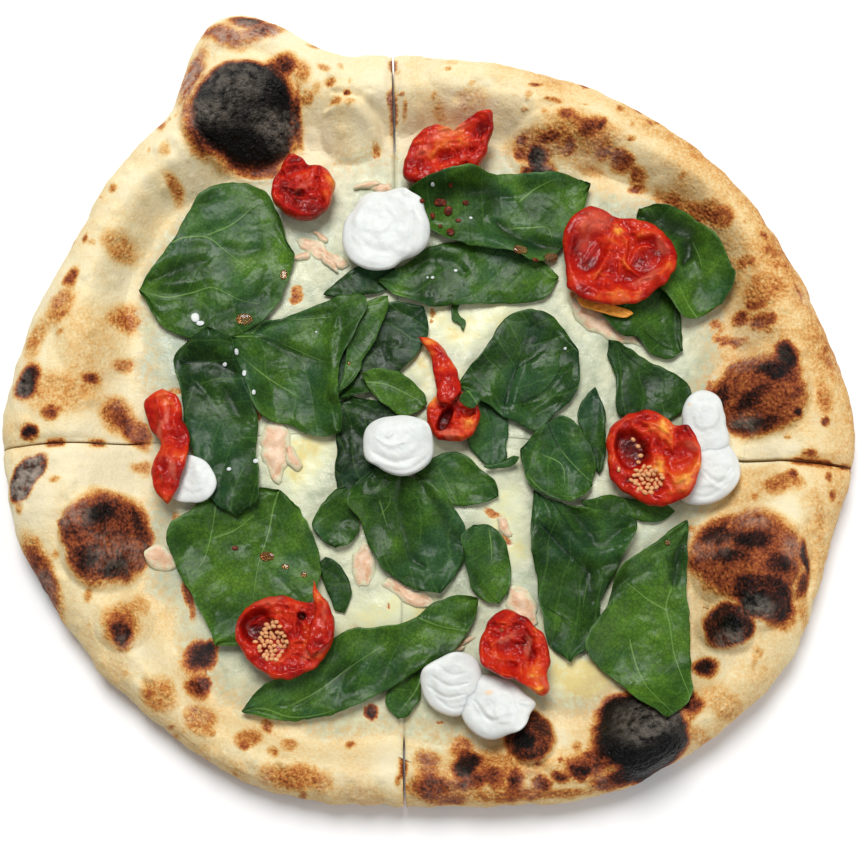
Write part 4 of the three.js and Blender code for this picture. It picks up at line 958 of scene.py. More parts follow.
def spinach_leaf():
    leaf = Recipe("spinach_leaf")
    tone = leaf.sum(leaf.mark("tone"), leaf.swing(leaf.noise(14, 3.0), 0.95))
    tone = leaf.sum(tone, leaf.swing(leaf.noise(2.5, 4.0), 0.16))
    base = leaf.ramp(tone, [(0.0, (6, 22, 8)), (0.25, (22, 48, 14)), (0.5, (46, 80, 22)),
                            (0.75, (80, 118, 34)), (1.0, (124, 158, 62))])
    # Bluish-green patches mixed into the colour: a painted sheen, standing in for a reflection.
    painted_leaf_sheen = leaf.between(leaf.noise(19, 2.0), 0.46, 0.68, 0.0, 0.45)
    base = leaf.mix(painted_leaf_sheen, base, colour(44, 82, 58))
    net = leaf.cells(3.4, "DISTANCE_TO_EDGE")
    base = leaf.mix(leaf.between(net, 0.0, 0.07, 0.16, 0.0), base, colour(86, 124, 50))
    fine_net = leaf.cells(1.7, "DISTANCE_TO_EDGE")
    base = leaf.mix(leaf.between(fine_net, 0.0, 0.14, 0.45, 0.0), base, colour(18, 42, 18))
    place = leaf.combine("SUBTRACT", leaf.combine("FRACT", leaf.mark("course")), 0.5)
    vein = leaf.between(leaf.combine("ABSOLUTE", place), 0.44, 0.49)
    vein = leaf.times(vein, leaf.mark("veined"))
    base = leaf.mix(leaf.times(vein, 0.3), base, colour(86, 124, 58))
    rib = 0.0
    for mark in RIBS:
        near = leaf.combine("ABSOLUTE", leaf.mark(mark))
        rib = leaf.combine("MAXIMUM", leaf.between(near, 0.55, 1.3, 1.0, 0.0), rib)
    rib_tint = leaf.ramp(leaf.mark("tone"), [(0.46, (16, 36, 20)), (0.52, (112, 148, 76))])
    base = leaf.mix(leaf.times(rib, 0.65), base, rib_tint)
    base = leaf.mix(leaf.mark("pale"), base, colour(112, 148, 96))
    # Darker where the leaf folds down into a groove: painted shade.
    base = leaf.mix(leaf.mark("painted_fold_shade"), base, colour(4, 16, 8))
    normal = leaf.bump(leaf.noise(7, 2.0, 0.5), 0.8)
    normal = leaf.bump(leaf.between(net, 0.0, 0.4), 0.04, normal)
    normal = leaf.bump(leaf.noise(1.4, 3.0), 0.1, normal)
    rough = leaf.between(leaf.noise(9, 3.0), 0.3, 0.7, 0.24, 0.46)
    return leaf.finish(base, rough, normal, Specular_IOR_Level=0.15)


SPINACH = spinach_leaf()


def lay_leaf(number, stem, tip, left, right, ripple, tone, ribs=(), folds=(), veined=0.8, scrap=False):
    """One leaf from its stem, tip and half-widths: how far its edge ripples, its tone from -1,
    dark, to 1, light, the lines of its ribs, and its folds as points, height and width."""
    x, y, u, v = long_plan(stem, tip, left, right, 200 + 5 * number)
    here = flat(x, y)
    edge = np.maximum(np.abs(v), np.abs(2 * u - 1)) ** 2
    wave = np.sin(LEAF_RIPPLES * u + 5 * v + stem[0])
    lift = ripple * (0.25 + edge * (0.8 + 0.6 * wave))
    marks = {}
    groove = np.zeros(x.shape)
    for mark, line in zip(RIBS, [*ribs, None, None, None]):
        if line is None:
            marks[mark] = both(99.0, x.shape)
            continue
        away, share, length = beside(x, y, line)
        taper = np.clip(1.2 - share, 0.05, 1) * step(-0.04, 0.02, share) * (1 - step(0.94, 1.04, share))
        marks[mark] = both(away / (RIB_HALF_WIDTH * np.maximum(taper, 0.01)), x.shape)
        groove += taper * (0.3 * np.exp(-(away / 0.7) ** 2) - 0.7 * np.exp(-(away / 2.6) ** 2))
    away, share, length = beside(x, y, ribs[0] if len(ribs) else [stem, tip])
    course = (share * length - VEIN_LEAN * np.abs(away)) / VEIN_SPACING + 0.22 * grain(here, 9, number)
    between_veins = course % 1
    pucker = np.sqrt(4 * between_veins * (1 - between_veins)) * veined * np.clip(np.abs(away) / 6, 0, 1)
    folded = ridges(x, y, folds)
    crinkle = 0.9 * grain(here, 15, 300 + number) + 0.45 * grain(here, 7, 350 + number)
    crinkle += 0.06 * grain(here, 3, 380 + number)
    relief = 0.3 * pucker + groove + folded + crinkle * (0.6 + 0.4 * ripple)
    shape = lift + relief
    shape = np.maximum(shape - 0.85 * min(0, shape.min()), 0)
    under = laid(x, y, LIMP) + shape
    thin = np.minimum(1, 6 * (1 - np.abs(v))) * np.minimum(1, 12 * (0.5 - np.abs(u - 0.5)))
    top = under + LEAF_THICK * (0.35 + 0.65 * thin)
    index, quads = grid_quads(*x.shape)
    points, faces = two_sided(x, y, under, top, [quads], grid_border(index))
    level = 0.5 + 0.25 * tone + 0.1 * grain(here, 15, 400 + number)
    # Painted shade: darker in the grooves of the folds, and darker the deeper the groove.
    painted_fold_shade = np.clip(-0.38 * folded, 0, 0.8) + 0 * x
    rim = 0.35 * step(0.93, 1, np.abs(v)) * step(0, 1, wave) * min(1, ripple)
    marks["tone"] = both(level, x.shape)
    marks["course"] = both(course, x.shape)
    marks["veined"] = both(veined * step(0.0, 3.0, np.abs(away)), x.shape)
    marks["painted_fold_shade"] = both(painted_fold_shade, x.shape)
    marks["pale"] = np.concatenate([(rim + 0 * x).ravel(), np.full(x.size, 0.35)])
    kind = "scrap" if scrap else "leaf"
    leaf = new_piece(f"spinach_{kind}_{number:02d}", points, faces, SPINACH, marks)
    raise_surface(x, y, top)
    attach(leaf, "root")
    if not scrap:
        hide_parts(f"spinach_{number:02d}")


lay_leaf(1, (-42, 41), (-12, 50), [2, 4, 6, 6, 4], [2, 4, 5, 6, 4], 0.4, -0.7)
lay_leaf(2, (-30, 0), (-30, -41), [15, 19, 20, 19, 13], [6, 6, 6, 6, 5], 0.6, -1.0,
         [[(-35, -3), (-27, -4), (-17, -8)]],
         [([(-32, -10), (-25, -18), (-13, -22)], -0.7, 3), ([(-32, -18), (-28, -32)], 0.6, 4)])
lay_leaf(3, (-35, -2), (-2, 35), [7, 13, 20, 17, 9], [4, 8, 10, 10, 7], 0.8, -1.1,
         [[(-18, 30), (-18, 19), (-16, 11)]],
         [([(-31, 25), (-22, 19), (-13, 21)], -0.6, 3)])
lay_leaf(4, (22, 0), (24, -28), [7, 7, 7, 6, 5], [6, 9, 9, 8, 4], 0.5, -0.2,
         [[(20, -1), (24, -12), (25, -26)]])
lay_leaf(5, (9, 37), (13, 26), [2.6, 1.2, 1, 2.2, 0.8], [0.6, 1.6, 2.8, 0.8, 0.6], 0.2, -0.2, veined=0)
lay_leaf(6, (-21, 46), (51, 48), [4, 13, 15, 13, 7], [6, 11, 11, 11, 9], 0.8, 0.08,
         [[(-17, 41), (-9, 39), (0, 37)], [(-1, 38), (1, 47)], [(11, 67), (18, 60), (21, 53)]],
         [([(-14, 53), (-2, 55), (8, 54), (14, 49)], -0.8, 2.5),
          ([(12, 62), (16, 53), (19, 45)], 1.0, 5), ([(12, 49), (23, 44)], -0.6, 2.5)])
lay_leaf(7, (69, 22), (100, -4), [2, 3, 4, 5, 5], [5, 10, 20, 18, 12], 0.6, -0.5,
         [[(74, 18), (81, 12), (92, 4)]],
         [([(82, 7), (84, -3)], -0.8, 3), ([(75, 5), (76, -4)], 0.6, 3)])
lay_leaf(8, (57, -41), (93, -45), [1.5, 4, 3.5, 3, 3], [3, 5, 5, 5, 4], 0.4, 0.2,
         [[(71, -37), (76, -44), (79, -49)]], [([(65, -45), (73, -41)], -0.6, 2)])
lay_leaf(9, (66, 33), (98, 18), [4, 13, 20, 18, 8], [2, 5, 3, 7, 5], 0.8, -0.1,
         [[(94, 45), (96, 35), (96, 25), (97, 13)], [(83, 25), (90, 20), (96, 17)]],
         [([(81, 29), (87, 23), (93, 19)], -0.6, 2)])
lay_leaf(10, (-2, -103), (-12, -122), [1.5, 2, 4, 4, 3], [3, 5, 6.5, 8, 6], 0.4, 0.2,
         [[(-2, -104), (-5, -111), (-11, -119)]])
lay_leaf(11, (-39, -62), (-32, -83), [2, 4, 5, 5, 2], [4, 4, 3.6, 3.4, 3], 0.3, -0.8)
lay_leaf(12, (-32, -36), (-36, -59), [2, 5, 8, 8, 5], [4, 7, 9, 10, 5], 0.8, -0.2, [],
         [([(-33, -48), (-29, -48), (-26, -52)], -0.8, 1.6),
          ([(-43, -54), (-34, -58), (-29, -56)], 0.6, 1.6)])
lay_leaf(13, (-35, 0), (-16, 40), [1, 3, 7, 10, 5], [2, 3, 3, 3, 2], 0.5, 0.3,
         [[(-33, 35), (-23, 36), (-15, 38)]], [([(-30, 33), (-33, 23), (-35, 13)], -0.6, 2)])

# ---------------------------------------------------------------- Roasted tomatoes
# Small tomatoes halved and roasted soft, laid on skin side down or open side up: deep red
# and wet, collapsed and wrinkled, with seeds and pulp where a half lies open.

MOUND_SPOKES, MOUND_RINGS = 144, 44     # mesh steps round a half, and out from its middle
TOMATO_GRID = 0.56              # how fine the mesh of the strips is
STRIP_EDGE = 0.9                # how thick a strip is at its edge


def ring_quads(spokes, rings):
    """The numbers of points laid out in spokes, and the faces between them all the way round."""
    index = np.arange(spokes * rings).reshape(spokes, rings)
    after = np.roll(index, -1, axis=0)
    quads = np.stack([index[:, :-1], index[:, 1:], after[:, 1:], after[:, :-1]], axis=-1)
    return index, quads.reshape(-1, 4)


def round_plan(at, outline, spokes=MOUND_SPOKES, rings=MOUND_RINGS):
    """A round piece from the middle out: its points, shares, faces and border."""
    share = np.linspace(1 / rings, 1, rings)[None, :]
    degrees = np.arange(spokes)[:, None] * 360 / spokes
    from_middle = np.array(outline, float) - at
    turned = np.degrees(np.arctan2(from_middle[:, 1], from_middle[:, 0]))
    reach = np.interp(degrees[:, 0], turned, np.hypot(*from_middle.T), period=360)
    for _ in range(6):
        reach = (reach + np.roll(reach, 1) + np.roll(reach, -1)) / 3
    far = reach[:, None] * share
    angle = np.radians(degrees)
    x = np.append((at[0] + far * np.cos(angle)).ravel(), at[0])
    y = np.append((at[1] + far * np.sin(angle)).ravel(), at[1])
    index, quads = ring_quads(spokes, rings)
    middle = np.full(spokes, spokes * rings)
    fan = np.stack([middle, index[:, 0], np.roll(index[:, 0], -1)], axis=1)
    shares = np.append(np.broadcast_to(share, far.shape).ravel(), 0)
    return x, y, shares, [quads, fan], index[:, -1]


def rounded_rim(under, top, share, start=0.93):
    """Brings top and underside together in a round edge."""
    middle = (under + top) / 2
    half = (top - under) / 2
    out = np.clip((share - start) / (1 - start), 0, 1)
    half = half * np.sqrt(1 - out ** 2) + 0.05
    return middle - half, middle + half


def roasted_tomato():
    tomato = Recipe("roasted_tomato")
    flesh_and_shading = tomato.sum(tomato.mark("flesh_and_shading"), tomato.swing(tomato.noise(4, 4.0), 0.5))
    base = tomato.ramp(flesh_and_shading, [(0.0, (58, 2, 2)), (0.25, (112, 4, 3)), (0.45, (164, 15, 7)),
                               (0.65, (196, 44, 15)), (0.85, (214, 96, 38)), (1.0, (238, 160, 62))])
    # A pinkish sheen mixed in where it is painted: a painted reflection.
    base = tomato.mix(tomato.mark("pink_sheen"), base, colour(216, 112, 86))
    base = tomato.mix(tomato.mark("seed"), base, colour(224, 172, 118))
    streak = tomato.between(tomato.noise(1.3, 4.0, 0.65), 0.5, 0.72, 0.0, 0.3)
    base = tomato.mix(streak, base, colour(206, 66, 28))
    normal = tomato.bump(tomato.noise(2.2, 4.0, 0.65), 0.4)
    normal = tomato.bump(tomato.noise(0.9, 3.0, 0.6), 0.2, normal)
    tomato.feed(tomato.shader.inputs["Coat Normal"], tomato.bump(tomato.noise(1.3, 2.0, 0.5), 0.3))
    rough = tomato.between(tomato.noise(3, 3.0), 0.3, 0.7, 0.2, 0.4)
    return tomato.finish(base, rough, normal, Specular_IOR_Level=0.08, Coat_Weight=0.4,
                         Coat_Roughness=0.03, Coat_IOR=1.4)


ROASTED_TOMATO = roasted_tomato()


def tomato_piece(name, node, parts):
    """One tomato from its laid parts: points, faces, how light each is with its painted light and shade,
    where a pinkish sheen is painted on it, and how seedy it is.
    """
    points, faces = join([part[:2] for part in parts])
    marks = {}
    for place, mark in enumerate(("flesh_and_shading", "pink_sheen", "seed"), 2):
        marks[mark] = np.concatenate([np.broadcast_to(part[place], (len(part[0]),)) for part in parts])
    piece = new_piece(name, points, faces, ROASTED_TOMATO, marks)
    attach(piece, "root")
    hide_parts(node)


def wrinkled(here, seed):
    """Fine sharp wrinkles of a skin that has dried over soft flesh."""
    fine = 0.7 * (0.3 - np.abs(grain(here, 1.8, seed + 1))) + 0.36 * grain(here, 1.0, seed + 2)
    return 1.1 * (0.3 - np.abs(grain(here, 3.4, seed))) + fine


def laid_tomato(at, outline, height, hollows, folds, painted, pink_sheen_spots, seed):
    """A collapsed half for tomato_piece: its wrinkled body less its smooth hollows, painted with spots of
    lighter and darker flesh and with spots of pinkish sheen, a painted reflection; lighter on its folds and
    wrinkles and darker in its grooves, as painted light and shade, and darker in its hollows."""
    x, y, share, faces, border = round_plan(at, outline)
    here = flat(x, y)
    x = x + 0.5 * grain(here, 3, seed + 8) * share
    y = y + 0.5 * grain(here, 3, seed + 9) * share
    dip = spots(x, y, hollows, 0.25, seed + 10, 0.62, 1.1)
    rough = 1 - 0.8 * np.clip(dip / 2, 0, 1)
    crumple = 0.8 * grain(here, 5.5, seed) + wrinkled(here, seed + 1)
    crease = ridges(x, y, folds)
    under = laid(x, y, FIRM) + 0.3 * height * share ** 5
    skin = (crumple * rough + crease) * step(0, 0.2, 1.02 - share)
    body = height * (1 - 0.35 * share ** 4) - dip + skin
    under, top = rounded_rim(under, under + np.maximum(body, 0.8), share, 0.86)
    raise_surface(x, y, top)
    # The flesh's own tone, plus painted light and shade: lighter on raised folds and wrinkles, darker in
    # grooves. It is darker in the hollows too.
    flesh_and_shading = 0.52 + 0.16 * grain(here, 5, seed + 5) + 0.1 * np.clip(crease, -2, 2)
    flesh_and_shading = flesh_and_shading - 0.2 * np.clip(dip / 3, 0, 1) + 0.14 * crumple * rough
    for (px, py), size, change in painted:
        flesh_and_shading = flesh_and_shading + change * np.exp(-((x - px) ** 2 + (y - py) ** 2) / size ** 2)
    # Spots of pinkish sheen: a painted reflection.
    pink_sheen = spots(x, y, pink_sheen_spots, 0.8, seed + 6)
    points, groups = two_sided(x, y, under, top, faces, border)
    return points, groups, np.tile(np.clip(flesh_and_shading, 0, 1), 2), np.tile(pink_sheen, 2), 0.0


# The wedge at the back lies under the edge of a leaf, so it comes before that leaf.
tomato_piece("roasted_wedge", "tomato_wedge", [laid_tomato(
    (8, 98), [(-11, 86), (-10, 92), (-8, 100), (-4, 105), (0, 108), (5, 107), (9, 105), (15, 108),
             (20, 112), (24, 112), (25, 106), (23, 99), (20, 92), (14, 86), (6, 84), (-3, 84)], 11,
    [((9, 103), (10, 2.4), 10, 1.2), ((4, 92), (9, 3), 10, 1.0)],
    [([(-8, 92), (4, 94), (18, 97)], -1.2, 2), ([(-6, 99), (6, 102), (20, 107)], 1.0, 3),
     ([(2, 88), (14, 92)], 0.8, 2.5), ([(20, 108), (17, 98), (14, 90)], -1.0, 1.5)],
    [((0, 94), 6, 0.25), ((-8, 90), 5, -0.1), ((16, 92), 6, 0.1), ((10, 104), 8, 0.2)],
    [((8, 104), (9, 2.4), 12, 0.5), ((-2, 97), (5, 2), 40, 0.4)], 501)])

# ---------------------------------------------------------------- Spinach leaves on top
# The larger leaves, laid last and partly over the tomato wedge and over each other.

lay_leaf(14, (-26, 7), (-1, -4), [4, 6, 7, 6, 4], [2, 5, 7, 8, 5], 0.7, 0.8,
         [[(-26, 5), (-17, 4), (-10, 1), (-3, -3)]])
lay_leaf(15, (-113, 42), (-53, 56), [7, 20, 33, 36, 29], [17, 24, 27, 24, 13], 1.4, 0.15,
         [[(-112, 42), (-103, 39), (-93, 41), (-85, 43), (-74, 38), (-65, 36)],
          [(-101, 61), (-98, 63), (-88, 64), (-81, 59), (-70, 50)],
          [(-87, 65), (-78, 69), (-68, 78)]],
         [([(-109, 46), (-102, 49), (-93, 53), (-87, 54)], -1.2, 3),
          ([(-105, 44), (-98, 44), (-91, 45)], 0.8, 2.5), ([(-81, 42), (-72, 46), (-65, 51)], 0.8, 4),
          ([(-81, 60), (-74, 58), (-66, 59)], -0.8, 3), ([(-84, 32), (-75, 35), (-65, 40)], -0.7, 3),
          ([(-86, 79), (-85, 69)], 0.6, 6)])
lay_leaf(16, (-57, -36), (-79, -96), [12, 24, 27, 23, 12], [16, 29, 33, 21, 6], 1.3, 0.45,
         [[(-57, -37), (-59, -43), (-61, -54), (-64, -64), (-65, -71), (-66, -79)],
          [(-80, -37), (-81, -45), (-82, -52), (-85, -64), (-89, -69)],
          [(-81, -55), (-73, -52), (-66, -46)]],
         [([(-78, -36), (-80, -45), (-82, -52)], -0.9, 2.4), ([(-75, -69), (-71, -64), (-66, -68)], 0.7, 5),
          ([(-84, -78), (-83, -73), (-81, -68)], -0.6, 2), ([(-73, -49), (-71, -58), (-75, -64)], 0.5, 5),
          ([(-80, -83), (-77, -79), (-74, -76)], -0.6, 2)])
lay_leaf(17, (-86, 26), (-71, -48), [10, 11, 13, 10, 9], [14, 14, 15, 12, 8], 1.5, -0.7,
         [[(-91, 5), (-86, -1), (-78, -12), (-73, -19)]],
         [([(-95, 13), (-84, 14), (-73, 8)], -1.4, 3), ([(-92, 19), (-83, 19), (-76, 16)], 0.9, 4),
          ([(-76, 19), (-74, 13), (-71, 3), (-66, -4)], 1.1, 1.4), ([(-93, 5), (-86, -1)], 0.7, 1.6),
          ([(-79, 3), (-75, -4), (-68, -12)], -1.0, 3), ([(-85, -3), (-79, -14), (-78, -24)], 0.6, 5),
          ([(-82, -28), (-74, -24), (-66, -20)], -0.8, 3)])
lay_leaf(18, (-76, 21), (-33, -15), [14, 36, 46, 17, 5], [4, 10, 15, 10, 7], 1.0, 0,
         [[(-75, 22), (-66, 23), (-56, 20), (-47, 16), (-38, 12)],
          [(-74, 16), (-64, 8), (-53, 1), (-47, -3), (-40, -4)],
          [(-69, 24), (-65, 27), (-54, 30), (-37, 31)]],
         [([(-65, 22), (-54, 17), (-40, 13)], -0.7, 2.4), ([(-63, 30), (-50, 32), (-37, 33)], -0.7, 2),
          ([(-36, 30), (-38, 21), (-38, 8), (-38, -2)], 1.3, 2)])
lay_leaf(19, (10, 3), (57, 17), [4, 11, 20, 22, 16], [5, 16, 25, 20, 15], 1.2, -0.35,
         [[(28, -7), (29, -1), (33, 9), (36, 19), (41, 32)], [(33, 10), (42, 16), (47, 22), (49, 30)],
          [(35, -3), (44, 2), (50, 10), (52, 19), (52, 27)]],
         [([(29, -4), (30, 1), (33, 11)], -1.3, 2), ([(32, -3), (33, 3), (37, 12)], 0.8, 3),
          ([(34, -4), (45, 1), (54, 11)], -0.8, 2.4), ([(40, -8), (50, -2)], -0.9, 1.6)])
lay_leaf(20, (-9, 82), (63, 86), [2, 5, 5, 4, 3], [15, 23, 27, 32, 19], 1.6, 0.08,
         [[(35, 78), (41, 83), (51, 87)], [(31, 67), (39, 67), (46, 67), (48, 61)]],
         [([(-7, 83), (4, 87), (18, 89), (39, 87), (62, 87)], 1.5, 4),
          ([(3, 78), (10, 82), (20, 82), (32, 80)], -1.3, 4),
          ([(26, 70), (31, 65), (39, 61), (51, 59)], -1.8, 3), ([(34, 67), (46, 66)], 0.9, 4),
          ([(37, 76), (40, 72)], -0.6, 2.5)])
lay_leaf(21, (82, 75), (113, 35), [9, 14, 15, 13, 10], [5, 10, 14, 15, 15], 1.2, 0.4,
         [[(103, 62), (105, 55), (106, 50)], [(104, 29), (99, 37), (96, 45)]],
         [([(82, 72), (92, 69), (102, 64), (99, 53)], -2.2, 5), ([(84, 75), (92, 77), (105, 70)], 1.1, 2.4),
          ([(106, 67), (108, 58), (109, 43)], 0.6, 5), ([(101, 58), (105, 47), (101, 37)], -0.9, 3)])
lay_leaf(22, (64, 3), (64, -30), [1.5, 3.5, 3, 3, 1.5], [4, 8, 6.5, 4.5, 2], 0.6, -0.2,
         [[(64, 1), (63, -10), (60, -22)]], [([(66, -3), (66, -18)], 0.6, 1.6)])
lay_leaf(23, (39, -37), (52, -101), [8, 35, 26, 16, 10], [2, 5, 6, 7, 6], 1.4, -0.35,
         [[(43, -38), (49, -46), (54, -54), (60, -61)],
          [(41, -49), (49, -58), (57, -66), (59, -69), (57, -79), (57, -88)],
          [(41, -80), (48, -84), (57, -90)]],
         [([(46, -43), (52, -54), (60, -62), (67, -59), (79, -52)], 1.6, 4),
          ([(51, -43), (59, -52), (63, -58), (73, -51)], -1.4, 3),
          ([(43, -52), (56, -64), (60, -66), (78, -62)], -1.5, 2.6), ([(59, -67), (60, -79)], -1.2, 3),
          ([(42, -95), (48, -91), (49, -85)], -0.6, 2)])
lay_leaf(24, (34, -21), (62, -35), [9, 19, 18, 14, 8], [5, 11, 12, 12, 8], 1.1, -0.1,
         [[(44, -10), (49, -20), (57, -30), (63, -35)], [(36, -30), (43, -38), (56, -40)],
          [(42, -23), (50, -27), (51, -35)]],
         [([(53, -10), (61, -22), (63, -33)], -0.8, 2.4), ([(49, -14), (55, -24), (58, -33)], 0.6, 3)])
lay_leaf(25, (96, -48), (84, -121), [2, 3, 6, 9, 8], [7, 22, 25, 31, 14], 1.2, 0.35,
         [[(90, -74), (88, -80), (89, -88), (90, -97), (92, -106), (93, -115), (87, -121)],
          [(74, -93), (76, -102), (79, -110), (87, -121)], [(88, -82), (81, -78), (76, -74), (72, -71)]],
         [([(84, -64), (78, -69), (72, -72), (66, -79)], -0.7, 2),
          ([(96, -54), (92, -66), (91, -73)], -1.4, 2.4), ([(73, -109), (79, -111)], -0.7, 2),
          ([(89, -88), (83, -87), (78, -86)], 0.5, 1.5), ([(90, -95), (85, -93), (81, -91)], 0.4, 1.5)])
lay_leaf(26, (-6, -31), (26, -39), [5, 12, 12, 9, 5], [2, 5, 7, 6, 3], 0.8, 0.05,
         [[(-5, -32), (4, -36), (9, -42)], [(3, -28), (8, -37), (11, -43)]],
         [([(2, -21), (11, -23), (22, -30), (25, -36)], 0.9, 1.8)])
lay_leaf(27, (-22, -29), (4, -76), [7, 17, 20, 20, 12], [13, 14, 15, 14, 7], 1.1, -0.15,
         [[(-17, -32), (-15, -41), (-19, -47)], [(-5, -32), (4, -36), (9, -43), (12, -49)],
          [(-19, -41), (-16, -51)]],
         [([(-11, -32), (-11, -43), (-10, -52), (-7, -62), (-2, -66)], -1.2, 2.4),
          ([(-5, -33), (1, -41), (7, -52), (12, -57)], -1.2, 2.4),
          ([(-8, -33), (-4, -45), (1, -56)], 0.9, 5), ([(-22, -33), (-20, -45), (-15, -52)], 0.5, 4),
          ([(-17, -49), (-13, -54)], -0.6, 2)])
lay_leaf(28, (16, -50), (26, -80), [7, 9, 9, 8, 4], [6, 7, 8, 8, 5], 0.8, 0.0,
         [[(22, -50), (23, -58), (23, -64)]],
         [([(12, -60), (18, -73), (24, -79)], -0.9, 2), ([(15, -64), (22, -76)], 0.5, 2.4)])
lay_leaf(29, (-70, -119), (19, -78), [4, 7, 10, 4, 6], [8, 15, 16, 14, 10], 1.2, 0.15,
         [[(-70, -119), (-61, -118), (-51, -121), (-40, -120), (-31, -117)],
          [(-51, -117), (-40, -111), (-31, -104), (-22, -98), (-14, -93)],
          [(-4, -85), (4, -88), (15, -90)]],
         [([(-55, -117), (-47, -116), (-41, -111), (-33, -105), (-26, -101)], -0.9, 1.8),
          ([(-66, -114), (-60, -111), (-55, -109)], -0.7, 1.8),
          ([(-31, -111), (-25, -105), (-17, -97)], 0.9, 2.4),
          ([(0, -101), (11, -94), (18, -89)], -1.0, 2.4), ([(-2, -85), (15, -90)], 1.1, 1.8)])

# ---------------------------------------------------------------- The tomato twist
# A curled strip of tomato joined to a small collapsed cup, in the middle of the pizza.


def tomato_strip(stem, tip, left, right, thick, folds, painted, pink_sheen_spots, seed):
    """A long rounded piece with wrinkles across it, as a part for tomato_piece."""
    x, y, u, v = long_plan(stem, tip, left, right, seed, 1.0, TOMATO_GRID)
    here = flat(x, y)
    end = np.minimum(1, np.sqrt(4.5 * np.minimum(u, 1 - u)))
    share = end * np.sqrt(np.clip(1 - v * v, 0, 1))
    wrinkle = 0.88 + 0.12 * np.sin(22 * u) + 0.12 * grain(here, 3, seed + 4)
    under = laid(x, y, FIRM) + 0.35 * thick * (1 - share)
    body = STRIP_EDGE * 0.3 + (thick - STRIP_EDGE) * share * wrinkle
    crumple = wrinkled(here, seed + 5)
    top = under + np.maximum(body + (ridges(x, y, folds) + 0.7 * crumple) * share, 0.1)
    raise_surface(x, y, top)
    # The flesh's own tone, and lighter on the crests of the wrinkles: painted light.
    flesh_and_shading = 0.54 + 0.16 * grain(here, 5, seed + 6) + 0.12 * crumple
    for (px, py), size, change in painted:
        flesh_and_shading = flesh_and_shading + change * np.exp(-((x - px) ** 2 + (y - py) ** 2) / size ** 2)
    index, quads = grid_quads(*x.shape)
    points, groups = two_sided(x, y, under, top, [quads], grid_border(index))
    # Spots of pinkish sheen: a painted reflection.
    pink_sheen = both(spots(x, y, pink_sheen_spots, 0.8, seed + 7), x.shape)
    return points, groups, both(np.clip(flesh_and_shading, 0, 1), x.shape), pink_sheen, 0.0


tomato_piece("roasted_twist", "tomato_twist", [
    laid_tomato((9, -9), [(19, -11), (18, -4), (14, -1), (8, 0), (2, -1), (-1, -5), (-1, -11), (2, -17),
                          (8, -19), (15, -17)], 6.5,
                [((5.4, -10.6), (5.6, 2.3), 65, 3.8), ((14, -8), (3, 3), 0, 1.2)],
                [([(2, -3), (8, -2), (14, -6)], 0.8, 2), ([(0, -10), (4, -17), (12, -18)], 0.9, 2)],
                [((5, -11), 3, -0.3), ((0, -3), 3, 0.5), ((15, -14), 4, 0.15)],
                [((8, -15), (5, 2), 0, 0.6), ((12, -3), (4, 2), -30, 0.4)], 521),
    tomato_strip((-5, 22), (8, -6), [4.4, 8, 8.6, 7.6, 5], [-0.6, -1.6, 0.6, 2.6, 3.6], 5.5,
                 [([(-2, 19), (4, 16), (8, 10), (9, 0)], 0.8, 1.2)],
                 [((8, 8), 4, 0.06), ((-2, 19), 5, 0.2)], [((5, 16), (4, 1.4), -45, 0.5)], 531)])

# ---------------------------------------------------------------- Cream cheese dollops
# Whipped cream cheese dropped on after baking: smooth white mounds with a soft spiral where
# the spoon was turned away, small peaks, and one thin smear that has begun to melt.

DOLLOP_GRID = (112, 38)         # mesh steps round a spoonful, and out from its middle
SPOON_MARK = 0.55               # how deep the marks of the spoon are, of what the lists give


def whipped_cream_cheese():
    cream = Recipe("whipped_cream_cheese")
    base = cream.ramp(cream.noise(3, 3.0), [(0.3, (215, 219, 215)), (0.7, (224, 227, 223))])
    base = cream.mix(cream.mark("tinge"), base, colour(232, 196, 150))
    normal = cream.bump(cream.noise(2.4, 4.0, 0.55), 0.2)
    normal = cream.bump(cream.noise(0.7, 2.0), 0.06, normal)
    return cream.finish(base, 0.5, normal, Subsurface_Weight=0.4, Subsurface_Scale=0.002,
                        Subsurface_Radius=(1.0, 0.85, 0.7), Specular_IOR_Level=0.3)


CREAM_CHEESE = whipped_cream_cheese()


def dollop(number, lobes, folds, tinges, seed):
    """Spoonfuls that have run together: in each a low mound, and the layers that the spoon
    left on it, one over the other, with rounded ledges."""
    parts = []
    tinge = []
    laid_tops = []
    for at, outline, height, layers in lobes:
        x, y, share, groups, border = round_plan(at, outline, *DOLLOP_GRID)
        here = flat(x, y)
        lumps = 0.5 * grain(here, 7, seed) + 0.22 * grain(here, 3, seed + 1)
        lumps = lumps + 0.07 * grain(here, 1.2, seed + 2)
        under = laid(x, y, FIRM) + 0.25 * height * share ** 5
        marked = spots(x, y, layers, 0.35, seed + 4, 0.7, 1.06)
        marked = SPOON_MARK * (marked + ridges(x, y, folds) * step(0, 0.15, 1 - share))
        depth = height * (1 - 0.3 * share ** 3) + marked + lumps * (1 - share ** 4)
        top = under + np.maximum(depth, 0.5)
        under, top = rounded_rim(under, top, share, 0.72)
        parts.append(two_sided(x, y, under, top, groups, border))
        tinge.append(np.tile(spots(x, y, tinges, 0.6, seed + 3), 2))
        laid_tops.append((x, y, top))
        seed += 10
    points, faces = join(parts)
    marks = {"tinge": np.concatenate(tinge)}
    piece = new_piece(f"cream_dollop_{number:02d}", points, faces, CREAM_CHEESE, marks)
    for x, y, top in laid_tops:
        raise_surface(x, y, top)
    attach(piece, "root")
    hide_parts(f"cream_{number:02d}")


